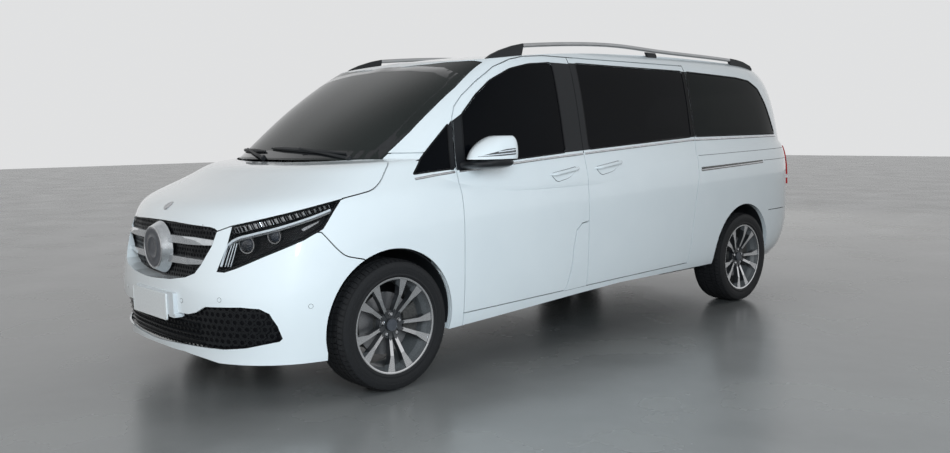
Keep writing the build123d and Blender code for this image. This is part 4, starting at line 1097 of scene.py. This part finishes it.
verts, faces = [], []
for k, (x0, x1) in enumerate(BLOCKS):
    skew = BLOCK_SKEW * (1 if k % 2 else -1)
    start = len(verts)
    for x, lean in ((x0, 0.0), ((x0 + x1) / 2, skew / 2), (x1, skew)):
        for y in (-BLOCK_HALF, BLOCK_HALF):
            verts += [(x, y + lean, GROOVE_RADIUS - BLOCK_ROOT), (x, y + lean, tread_radius(x))]
    for s in (0, 4):
        a = start + s
        faces += [(a, a + 4, a + 5, a + 1), (a + 2, a + 3, a + 7, a + 6), (a + 1, a + 5, a + 7, a + 3),
                  (a, a + 2, a + 6, a + 4)]
    faces += [(start, start + 1, start + 3, start + 2), (start + 8, start + 10, start + 11, start + 9)]
tread_mesh.from_pydata(verts, [], faces)
tread_segment = bpy.data.objects.new("tread_segment", tread_mesh)
bpy.context.scene.collection.objects.link(tread_segment)


def ring_of(name, pattern, count, turn):
    """Copies of one object turned evenly about the X axis."""
    recipe = Recipe(name, Pattern=pattern, Count=count, Turn=turn)
    points = recipe.add("GeometryNodeMeshLine", {"Count": recipe.input("Count"), "Offset": (0.0, 0.0, 0.0)})
    index = recipe.add("GeometryNodeInputIndex")
    angle = recipe.add("ShaderNodeMath", {0: index.outputs[0], 1: recipe.input("Turn")}, operation="MULTIPLY")
    rotation = recipe.add("ShaderNodeCombineXYZ", {"X": angle.outputs[0]})
    source = recipe.add("GeometryNodeObjectInfo", {"Object": recipe.input("Pattern")})
    copies = recipe.add("GeometryNodeInstanceOnPoints", {
        "Points": points.outputs[0], "Instance": source.outputs["Geometry"], "Rotation": rotation.outputs[0]})
    return recipe, copies.outputs[0]


TREAD_COUNT = 72
recipe, copies = ring_of("tread_ring", tread_segment, TREAD_COUNT, 2 * math.pi / TREAD_COUNT)
tread = recipe.grown("", copies, tyre_rubber)
bpy.data.objects.remove(tread_segment)

BOLT_COUNT, BOLT_CIRCLE = 5, 0.056
BOLT_PROFILE = [(-0.006, 0.0), (-0.006, 0.0125), (0.004, 0.0125), (0.004, 0.0105), (0.014, 0.0100),
                (0.016, 0.0080), (0.012, 0.0060), (0.012, 0.0)]
bolt_verts, bolt_faces = turned(BOLT_PROFILE, (0, 0, BOLT_CIRCLE), (1, 0, 0), 6)
bolt_mesh = bpy.data.meshes.new("wheel_bolt")
bolt_mesh.from_pydata([tuple(v) for v in bolt_verts], [], bolt_faces)
bolt = bpy.data.objects.new("wheel_bolt", bolt_mesh)
bpy.context.scene.collection.objects.link(bolt)
recipe, copies = ring_of("bolt_ring", bolt, BOLT_COUNT, 2 * math.pi / BOLT_COUNT)
bolts = recipe.grown("", copies, machined)
bpy.data.objects.remove(bolt)

SIDEWALL = [(0.1055, 0.2485), (0.1130, 0.2530), (0.1185, 0.2600), (0.1215, 0.2640), (0.1215, 0.2690),
            (0.1195, 0.2730), (0.1212, 0.2800), (0.1222, 0.2900), (0.1228, 0.2905), (0.1228, 0.2925),
            (0.1223, 0.2930), (0.1224, 0.3040), (0.1228, 0.3045), (0.1228, 0.3065), (0.1221, 0.3070),
            (0.1200, 0.3190), (0.1170, 0.3270), (0.1178, 0.3275), (0.1160, 0.3310), (0.1100, 0.3340),
            (0.0980, 0.3362), (0.0760, GROOVE_RADIUS)]
GROOVES = [(0.0735, GROOVE_RADIUS), (0.0, GROOVE_RADIUS + 0.0004)]


def tyre_casing():
    """The tyre without its tread blocks, from bead to bead and closed on the rim side."""
    half = SIDEWALL + GROOVES
    profile = [(-x, r) for x, r in half] + [(x, r) for x, r in reversed(half[:-1])]
    return turned(profile + profile[:1], (0, 0, 0), (1, 0, 0), 96)


def moved(part, offset, flip=False):
    """The shape carried to a place, turned over first for the other side of the car."""
    verts = [Vector((-v[0] if flip else v[0], v[1], v[2])) + Vector(offset) for v in part[0]]
    return verts, [tuple(reversed(face)) for face in part[1]] if flip else part[1]


CAP_PROFILE = [(-0.004, 0.0), (-0.004, 0.033), (0.004, 0.033), (0.0065, 0.0305), (0.0050, 0.0285),
               (0.0065, 0.016), (0.0070, 0.0)]
EDGE_PROFILE = [(-0.003, 0.2425), (-0.003, 0.2555), (0.0008, 0.2560), (0.0022, 0.2530), (0.0022, 0.2480),
                (0.0002, 0.2425), (-0.003, 0.2425)]
RIM_FACE, BOLT_DEPTH, CAP_DEPTH = 0.1225 - 0.012, 0.050, 0.034
bodies = frame["record"]["behaviour"]["bodies"]
for end in ("front", "rear"):
    for side in ("left", "right"):
        wheel = f"{end}_{side}"
        low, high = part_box(f"tyre_{wheel}")
        centre = Vector((low[k] + high[k]) / 2 for k in range(3))
        sign = 1.0 if side == "left" else -1.0
        body = next(name for name, names in bodies.items() if f"rim_{wheel}" in names)

        def wheel_face(middle, normal, centre=centre, sign=sign):
            """0 is enamel, 1 the machined faces of the spokes and lip, 2 the silver of the barrel."""
            radius = math.hypot(middle.y - centre.y, middle.z - centre.z)
            outward = sign * (middle.x - centre.x)
            if sign * normal.x > 0.90 and radius > BARE_RADIUS and outward > SPOKE_FACE_OUT:
                return 1
            return 2 if radius > BARREL_RADIUS and abs(normal.x) < 0.7 else 0

        dress(f"rim_{wheel}", (enamel, machined, barrel_silver), wheel_face)
        dress(f"brake_disc_{wheel}", (disc_steel, cast_iron),
              lambda middle, normal: 0 if abs(normal.x) > 0.5 else 1)
        casing = moved(tyre_casing(), centre, side == "right")
        blocks = moved(tread, centre, side == "right")
        tyre = piece(f"tyre_with_tread_{wheel}", *join(casing, blocks), tyre_rubber, body, "tyre", 30)
        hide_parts(f"tyre_{wheel}")
        face_x = centre.x + sign * RIM_FACE
        axis = (sign, 0.0, 0.0)
        bolt_set = moved(bolts, (face_x - sign * BOLT_DEPTH, centre.y, centre.z), side == "right")
        piece(f"wheel_bolts_{wheel}", *bolt_set, machined, body, "rim", 25)
        hub_cap = turned(CAP_PROFILE, (face_x - sign * CAP_DEPTH, centre.y, centre.z), axis, 40)
        piece(f"wheel_cap_{wheel}", *hub_cap, hub_cover, body, "rim")
        edge = turned(EDGE_PROFILE, (face_x, centre.y, centre.z), axis, 96)
        piece(f"rim_edge_{wheel}", *edge, machined, body, "rim", 25)

# ---- knuckles, suspension and engine --------------------------------------------------------------------
# Cast iron knuckles carry the front wheels on forged arms. The suspension and the engine block have
# the same dull dark metal.
for node in ("knuckle_left", "knuckle_right", "front_suspension", "rear_suspension", "engine"):
    dress(node, (cast_iron,))

# ---- tail lamps and tailgate ------------------------------------------------------------------------
# Upright red lamps with a clear reversing band low down. The tailgate carries a bright pull strip over
# a blank plate, a wiper and a high brake lamp, and the bumper has reflectors and a step pad.
tail_red = bpy.data.materials.new("tail_lamp_lens")
tail_red.use_nodes = True
make, link = tail_red.node_tree.nodes.new, tail_red.node_tree.links.new
shader = tail_red.node_tree.nodes["Principled BSDF"]
parts = make("ShaderNodeSeparateXYZ")
zones = make("ShaderNodeValToRGB")
zones.color_ramp.interpolation = "CONSTANT"
TAIL_LOW, TAIL_HIGH = 0.86, 1.26
RED, CLEAR, DEEP = (0.52, 0.012, 0.016, 1.0), (0.80, 0.74, 0.74, 1.0), (0.30, 0.006, 0.010, 1.0)
zones.color_ramp.elements[0].color = RED
zones.color_ramp.elements[1].position, zones.color_ramp.elements[1].color = 0.17, CLEAR
for position, colour in ((0.24, RED), (0.52, DEEP), (0.56, RED)):
    zones.color_ramp.elements.new(position).color = colour
height = make("ShaderNodeMapRange")
height.inputs["From Min"].default_value = TAIL_LOW
height.inputs["From Max"].default_value = TAIL_HIGH
flutes = make("ShaderNodeTexWave")
flutes.bands_direction = "Z"
flutes.inputs["Scale"].default_value = 60.0
relief = make("ShaderNodeBump")
relief.inputs["Strength"].default_value = 0.25
relief.inputs["Distance"].default_value = 0.001
coords = make("ShaderNodeTexCoord")
link(coords.outputs["Object"], parts.inputs["Vector"])
link(coords.outputs["Object"], flutes.inputs["Vector"])
link(parts.outputs["Z"], height.inputs["Value"])
link(height.outputs["Result"], zones.inputs["Fac"])
link(zones.outputs["Color"], shader.inputs["Base Color"])
link(flutes.outputs["Fac"], relief.inputs["Height"])
link(relief.outputs["Normal"], shader.inputs["Normal"])
shader.inputs["Roughness"].default_value = 0.12
shader.inputs["Coat Weight"].default_value = 1.0
shader.inputs["Coat Roughness"].default_value = 0.02
LENS_RISE = 0.014
work = bmesh.new()
work.from_mesh(nodes["tail_lamps"].data)
bmesh.ops.remove_doubles(work, verts=work.verts, dist=1e-5)
work.normal_update()
for vert in work.verts:
    outward = Vector((math.copysign(0.9, vert.co.x), 0.44, 0.0))
    if vert.normal.dot(outward) > 0.2:
        vert.co += outward * LENS_RISE
lamp_verts = [vert.co.copy() for vert in work.verts]
lamp_faces = [tuple(vert.index for vert in face.verts) for face in work.faces]
work.free()
lamps = piece("tail_lamp_lenses", lamp_verts, lamp_faces, tail_red, slot="tail")
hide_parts("tail_lamps")
red_lens = finish("red_lens", ((0.40, 0.010, 0.012), (0.52, 0.016, 0.018)), 0.14, 300.0, bump=0.1,
                  sockets={"Coat Weight": 1.0})
HIGH_LAMP = [(-0.170, 1.768), (0.170, 1.768), (0.170, 1.786), (-0.170, 1.786)]
high_lamp = plate(rounded(HIGH_LAMP, 0.008), "rear", ("tailgate",), 0.003, 0.006, 0.03)
piece("high_brake_lamp", *high_lamp, red_lens, "tailgate", "tail")
REFLECTOR = [(0.600, 0.395), (0.760, 0.400), (0.760, 0.432), (0.600, 0.427)]
reflector = plate(rounded(REFLECTOR, 0.01), "rear", ("rear_bumper",), 0.003, 0.006, 0.02)
piece("rear_reflectors", *both(reflector), red_lens, slot="tail")
PULL = [(-0.420, 1.118), (0.420, 1.118), (0.430, 1.132), (0.410, 1.150), (-0.410, 1.150), (-0.430, 1.132)]
pull_strip = plate(rounded(PULL, 0.008), "rear", ("tailgate",), 0.006, 0.012, 0.03, dome=0.003)
piece("tailgate_pull_strip", *pull_strip, chrome, "tailgate", "rail")
RECESS = [(-0.330, 0.955), (0.330, 0.955), (0.345, 1.105), (-0.345, 1.105)]
plate_recess = plate(rounded(RECESS, 0.02), "rear", ("tailgate",), 0.0012, 0.004, 0.03)
piece("plate_recess", *plate_recess, black_moulded, "tailgate")
REAR_PLATE = [(-0.200, 0.965), (0.200, 0.965), (0.200, 1.095), (-0.200, 1.095)]
rear_plate = plate(rounded(REAR_PLATE, 0.012), "rear", ("tailgate",), 0.004, 0.003, 0.03)
piece("rear_plate", *rear_plate, plate_white, "tailgate", "paint")
gate_tree = caster(("rear_window", "tailgate"))
pivot = landing(gate_tree, "rear", 0.0, 1.335, 0.012)
rear_arm = [landing(gate_tree, "rear", -0.010 - 0.36 * t / 10, 1.335 + 0.055 * t / 10, 0.022)
            for t in range(11)]
rear_blade = [landing(gate_tree, "rear", -0.06 - 0.36 * t / 14, 1.352 + 0.050 * t / 14, 0.010)
              for t in range(15)]
BACK = Vector((0.0, 1.0, 0.0))
REAR_SPINDLE = [(-0.010, 0.0), (-0.010, 0.022), (0.014, 0.022), (0.020, 0.016), (0.020, 0.0)]
rear_wiper = join(turned(REAR_SPINDLE, pivot, BACK, 24),
                  swept(rear_arm, oval(0.016, 0.010, 8, 0.8), BACK, [1.3 - 0.06 * t for t in range(11)]),
                  swept(rear_blade, oval(0.012, 0.014, 8, 0.8), BACK))
piece("rear_wiper", *rear_wiper, black_moulded, "tailgate")
STEP = [(-0.620, 2.500), (0.620, 2.500), (0.600, 2.640), (-0.600, 2.640)]
step_pad = plate(rounded(STEP, 0.02), "top", ("rear_bumper",), 0.0015, 0.004, 0.03)
piece("bumper_step", *step_pad, black_moulded)

# ---- roof rails -------------------------------------------------------------------------------------
# Anodised aluminium bars, brushed along their length and clamped in black feet that are bolted down
# along the roof.
rail_metal = finish("rail_metal", ((0.42, 0.43, 0.44), (0.52, 0.53, 0.54)), 0.3, 260.0, stretch=(1, 0.05, 1),
                    sockets={"Metallic": 0.95})
dress("roof_rails", (rail_metal,))

# ---- underbody ----------------------------------------------------------------------------------------
# The floor pressing is sprayed with underseal below and carpeted above. The exhaust is a steel tube
# with its silencer, browned by heat.
underseal = finish("underseal", ((0.022, 0.022, 0.023), (0.038, 0.038, 0.038)), 0.8, 160.0, bump=0.6)
carpet = finish("carpet", ((0.030, 0.030, 0.032), (0.060, 0.060, 0.062)), 0.95, 900.0, bump=0.8)
exhaust_steel = finish("exhaust_steel", ((0.20, 0.19, 0.18), (0.34, 0.33, 0.31)), 0.42, 60.0, bump=0.1,
                       sockets={"Metallic": 0.9})
dress("floor_pan", (underseal, carpet), lambda centre, normal: 1 if normal.z > 0.5 and centre.z > 0.40 else 0)
dress("bulkhead", (trim_card,))
dress("exhaust", (exhaust_steel,))

# ---- dashboard and steering wheel ------------------------------------------------------------------------
# A grained soft moulding with a silver trim line, four round air vents and a dark screen. The steering
# wheel has a leather grip and a soft airbag cover.
soft_grain = finish("soft_grain", ((0.020, 0.020, 0.021), (0.034, 0.034, 0.035)), 0.55, 1100.0, bump=0.5)
leather = finish("leather", ((0.018, 0.017, 0.017), (0.034, 0.032, 0.031)), 0.46, 700.0, bump=0.35)
dress("dashboard", (soft_grain,))
dress("steering_wheel", (leather,))
dash_tree = caster(("dashboard",))


def dash_spot(x, z, lift=0.0):
    """The point of the dashboard that faces the seats at a place across and a height."""
    hit = dash_tree.ray_cast(Vector((x, -0.9, z)), Vector((0, -1, 0)))[0]
    return hit + Vector((0, lift, 0))


VENT_PROFILE = [(-0.01, 0.0), (-0.01, 0.046), (0.010, 0.046), (0.014, 0.041), (0.006, 0.036),
                (0.004, 0.010), (0.010, 0.008), (0.010, 0.0)]
vents = [turned(VENT_PROFILE, dash_spot(x, 1.060), (0, 0.9, 0.3), 32) for x in (-0.640, -0.140, 0.140, 0.640)]
piece("dash_vents", *join(*vents), satin_silver, slot="interior")
trim_line = [dash_spot(x / 10 * 0.72, 1.000, 0.002) for x in range(-10, 11)]
dash_trim = swept(trim_line, oval(0.030, 0.006, 8, 0.7), Vector((0, 1, 0)))
piece("dash_trim_line", *dash_trim, satin_silver, slot="interior")
dash_screen = slab((-0.115, 0.115), (-1.165, -1.150), (1.090, 1.215), 0.012)
piece("dash_screen", *dash_screen, black_gloss, slot="interior")
WHEEL_CENTRE, WHEEL_AXIS = Vector((0.400, -1.000, 1.020)), Vector((0.0, 0.894, 0.447))
AIRBAG_PROFILE = [(0.010, 0.0), (0.010, 0.070), (0.030, 0.068), (0.038, 0.052), (0.041, 0.0)]
airbag = turned(AIRBAG_PROFILE, WHEEL_CENTRE, WHEEL_AXIS, 40)
piece("airbag_cover", *airbag, soft_grain, slot="interior")


def torus(centre, axis, side, radius, section, count):
    """A closed ring; section is (outward, along the axis) offsets."""
    other = axis.cross(side)
    verts, faces = [], []
    for i in range(count):
        t = 2 * math.pi * i / count
        spoke = side * math.cos(t) + other * math.sin(t)
        verts += [centre + spoke * (radius + a) + axis * b for a, b in section]
    size = len(section)
    for i in range(count):
        for k in range(size):
            j, n = (i + 1) % count, (k + 1) % size
            faces.append((i * size + k, i * size + n, j * size + n, j * size + k))
    return verts, faces


grip_centre = WHEEL_CENTRE + WHEEL_AXIS * 0.012
grip = torus(grip_centre, WHEEL_AXIS, Vector((1, 0, 0)), 0.1735, oval(0.031, 0.030, 12), 72)
piece("steering_grip", *grip, leather, slot="interior")

# ---- seats ----------------------------------------------------------------------------------------------
# Leather over soft foam on moulded bases, with sewn channels across the cushions and backs, and
# headrests on steel posts.
def foam(low, high, lean, crown):
    """A crowned pad with rounded edges, as a grid of points pushed out from a box."""
    size = [(h - l) / 2 for l, h in zip(low, high)]
    work = bmesh.new()
    bmesh.ops.create_cube(work, size=2.0)
    bmesh.ops.subdivide_edges(work, edges=work.edges, cuts=11, use_grid_fill=True)
    middle = Vector((l + h) / 2 for l, h in zip(low, high))
    thin = min(range(3), key=lambda k: size[k])
    wide = [k for k in range(3) if k != thin]
    for vert in work.verts:
        p = vert.co
        edge = [abs(p[k]) for k in range(3)]
        square = sum(e ** 6 for e in edge) ** (1 / 6)
        p = p / max(square, 1e-6) * max(edge)
        p = Vector(p[k] * size[k] for k in range(3))
        swell = crown * (1 - (p[wide[0]] / size[wide[0]]) ** 2) * (1 - (p[wide[1]] / size[wide[1]]) ** 2)
        p[thin] += math.copysign(swell, p[thin])
        vert.co = p
    turn = Matrix.Rotation(math.radians(lean), 4, "X")
    work.transform(Matrix.Translation(middle) @ turn)
    verts = [v.co.copy() for v in work.verts]
    faces = [tuple(v.index for v in face.verts) for face in work.faces]
    work.free()
    return verts, faces


seat_leather = finish("seat_leather", ((0.040, 0.037, 0.035), (0.070, 0.066, 0.062)), 0.5, 520.0, bump=0.45)
seat_parts = {
    "cushion": foam((-0.245, 0.0, 0.664), (0.245, 0.495, 0.790), 3, 0.012),
    "back": foam((-0.235, 0.462, 0.740), (0.235, 0.575, 1.318), -10, 0.010),
    "headrest": foam((-0.118, 0.598, 1.338), (0.118, 0.684, 1.502), -8, 0.006),
}


def puffed(name, part):
    """The pad blown up as sewn cloth over foam, then smoothed."""
    mesh = bpy.data.meshes.new(name)
    mesh.from_pydata([tuple(v) for v in part[0]], [], part[1])
    pad = bpy.data.objects.new(name, mesh)
    bpy.context.scene.collection.objects.link(pad)
    remesh = pad.modifiers.new("remesh", "REMESH")
    remesh.mode = "VOXEL"
    remesh.voxel_size = 0.006
    graph = bpy.context.evaluated_depsgraph_get()
    pad.data = bpy.data.meshes.new_from_object(pad.evaluated_get(graph))
    pad.modifiers.clear()
    before = [v.co.copy() for v in pad.data.vertices]
    cloth = pad.modifiers.new("cloth", "CLOTH")
    cloth.settings.use_pressure = True
    cloth.settings.uniform_pressure_force = 4.0
    cloth.settings.effector_weights.gravity = 0.0
    cloth.settings.quality = 3
    for step in range(1, 21):
        bpy.context.scene.frame_set(step)
    graph = bpy.context.evaluated_depsgraph_get()
    blown = bpy.data.meshes.new_from_object(pad.evaluated_get(graph))
    pad.modifiers.clear()
    for vert, start in zip(blown.vertices, before):
        push = vert.co - start
        if push.length > 0.010:
            vert.co = start + push.normalized() * 0.010
    pad.data = blown
    bpy.context.scene.frame_set(1)
    verts = [v.co.copy() for v in pad.data.vertices]
    faces = [tuple(face.vertices) for face in pad.data.polygons]
    bpy.data.objects.remove(pad)
    return verts, faces


soft = {label: puffed(label, part) for label, part in seat_parts.items()}


def seam_line(part, start, end, count, axis):
    """A sewn channel: a fine cord that follows the pad's surface."""
    tree = BVHTree.FromPolygons(part[0], part[1])
    line = []
    for i in range(count + 1):
        spot = Vector(start).lerp(Vector(end), i / count)
        hit = tree.ray_cast(spot, Vector(axis))[0] or tree.find_nearest(spot)[0]
        line.append(hit - Vector(axis) * 0.0004)
    return swept(line, oval(0.005, 0.004, 6), -Vector(axis))


seams = []
for x in (-0.165, 0.165):
    seams.append(seam_line(soft["cushion"], (x, 0.04, 1.1), (x, 0.45, 1.1), 16, (0, 0, -1)))
    seams.append(seam_line(soft["back"], (x, 0.0, 0.86), (x, 0.0, 1.26), 16, (0, 1, 0)))
for y in (0.14, 0.25, 0.36):
    seams.append(seam_line(soft["cushion"], (-0.165, y, 1.1), (0.165, y, 1.1), 12, (0, 0, -1)))
for z in (0.93, 1.04, 1.15):
    seams.append(seam_line(soft["back"], (-0.165, 0.0, z), (0.165, 0.0, z), 12, (0, 1, 0)))
POST_PROFILE = [(0.0, 0.0), (0.0, 0.007), (0.075, 0.007), (0.075, 0.0)]
posts = [turned(POST_PROFILE, (x, 0.602, 1.280), (0, 0.35, 1.0), 12) for x in (-0.055, 0.055)]
base = foam((-0.205, 0.065, 0.432), (0.205, 0.435, 0.672), 0, 0.0)
ROWS = {"front_seats": ((0.420, -0.880), (-0.420, -0.880)),
        "rear_seats": ((0.420, 0.250), (-0.420, 0.250), (0.370, 1.200), (-0.370, 1.200))}


def row_of(part, spots):
    """One copy of a seat's part for each seat of the row."""
    return join(*[moved(part, (x, y, 0.0)) for x, y in spots])


for node, spots in ROWS.items():
    for label, pad in soft.items():
        made = piece(f"{node}_{label}", *row_of(pad, spots), seat_leather, slot="seat", sharp=180)
        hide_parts(node)
    piece(f"{node}_seams", *row_of(join(*seams), spots), black_moulded, slot="seat")
    piece(f"{node}_posts", *row_of(join(*posts), spots), satin_silver, slot="rail")
    piece(f"{node}_bases", *row_of(base, spots), trim_card, slot="seat")

# ---- studio floor -----------------------------------------------------------------------------------
# A plain painted floor with a soft sheen. An occlusion node darkens its colour where the car shuts off
# the light: painted shade.
FLOOR_HALF = 40.0
SHADE_REACH, DEEPEST_SHADE = 0.9, 0.42
mesh = bpy.data.meshes.new("floor")
corners = [(-FLOOR_HALF, -FLOOR_HALF, 0), (FLOOR_HALF, -FLOOR_HALF, 0), (FLOOR_HALF, FLOOR_HALF, 0),
           (-FLOOR_HALF, FLOOR_HALF, 0)]
mesh.from_pydata(corners, [], [(0, 1, 2, 3)])
floor = bpy.data.objects.new("floor", mesh)
bpy.context.scene.collection.objects.link(floor)
floor_paint = finish("floor_paint", ((0.225, 0.226, 0.222), (0.275, 0.276, 0.270)), 0.26, 1.2, spread=0.08)
make, link = floor_paint.node_tree.nodes.new, floor_paint.node_tree.links.new
shader = next(node for node in floor_paint.node_tree.nodes if node.type == "BSDF_PRINCIPLED")
# painted shade: the floor colour is scaled down, as far as DEEPEST_SHADE, under and beside the car
open_sky, soften = make("ShaderNodeAmbientOcclusion"), make("ShaderNodeMapRange")
shaded = make("ShaderNodeVectorMath")
open_sky.inputs["Distance"].default_value = SHADE_REACH
open_sky.samples = 8
soften.inputs["To Min"].default_value = DEEPEST_SHADE
shaded.operation = "SCALE"
link(shader.inputs["Base Color"].links[0].from_socket, shaded.inputs[0])
link(open_sky.outputs["AO"], soften.inputs["Value"])
link(soften.outputs["Result"], shaded.inputs["Scale"])
link(shaded.outputs["Vector"], shader.inputs["Base Color"])
mesh.materials.append(floor_paint)

# ---- background and lamps ---------------------------------------------------------------------------
# The world gives an even light that falls off towards the top, and shows as a pale backdrop to the
# viewer, in reflections and through glass. Broad round lamps stand at the front left corner, before,
# above and behind the car, and a small one makes the highlight in the paint.
WORLD_LEVEL, BACKDROP_LEVEL = 0.44, 0.76
FALL_START, LEVEL_AT_TOP = 0.25, 0.50
world = bpy.data.worlds.new("studio")
bpy.context.scene.world = world
world.use_nodes = True
make, link = world.node_tree.nodes.new, world.node_tree.links.new
light_path, seen, lit = make("ShaderNodeLightPath"), make("ShaderNodeMath"), make("ShaderNodeMath")
seen.operation = lit.operation = "ADD"
level_mix = make("ShaderNodeMapRange")
level_mix.inputs["To Min"].default_value = WORLD_LEVEL
level_mix.inputs["To Max"].default_value = BACKDROP_LEVEL
sky_place, sky_axes = make("ShaderNodeTexCoord"), make("ShaderNodeSeparateXYZ")
falling = make("ShaderNodeMapRange")
falling.inputs["From Min"].default_value = FALL_START
falling.inputs["To Min"].default_value = 1.0
falling.inputs["To Max"].default_value = LEVEL_AT_TOP
strength = make("ShaderNodeMath")
strength.operation = "MULTIPLY"
link(sky_place.outputs["Generated"], sky_axes.inputs["Vector"])
link(sky_axes.outputs["Z"], falling.inputs["Value"])
link(level_mix.outputs["Result"], strength.inputs[0])
link(falling.outputs["Result"], strength.inputs[1])
link(light_path.outputs["Is Camera Ray"], seen.inputs[0])
link(light_path.outputs["Is Glossy Ray"], seen.inputs[1])
link(seen.outputs[0], lit.inputs[0])
link(light_path.outputs["Is Transmission Ray"], lit.inputs[1])
link(lit.outputs[0], level_mix.inputs["Value"])
backdrop = world.node_tree.nodes["Background"]
backdrop.inputs["Color"].default_value = (0.985, 0.992, 1.0, 1)
link(strength.outputs[0], backdrop.inputs["Strength"])
COOL, NEUTRAL = (0.775, 0.91, 1.0), (1.0, 0.985, 0.965)
LAMP_AIM = Vector((0, -0.4, 0.8))
LAMPS = (("key", (5.9, -4.4, 2.4), 3.2, 312, COOL, False),
         ("front_fill", (0.8, -8.5, 2.9), 5.0, 80, NEUTRAL, False),
         ("top", (0.0, 0.0, 6.5), 6.0, 20, NEUTRAL, False),
         ("rear_fill", (-4.0, 8.5, 3.5), 5.0, 150, NEUTRAL, False),
         ("highlight", (6.4, -5.0, 2.0), 0.5, 10, COOL, True))
for name, place, size, power, tint, mirrored_in_paint in LAMPS:
    lamp = bpy.data.lights.new(name, "AREA")
    lamp.energy = power
    lamp.shape = "DISK"
    lamp.size = size
    lamp.color = tint
    holder = bpy.data.objects.new(name, lamp)
    holder.location = place
    holder.rotation_euler = (LAMP_AIM - Vector(place)).to_track_quat("-Z", "Y").to_euler()
    holder.visible_glossy = mirrored_in_paint
    bpy.context.scene.collection.objects.link(holder)
bpy.context.scene.view_settings.view_transform = "Standard"
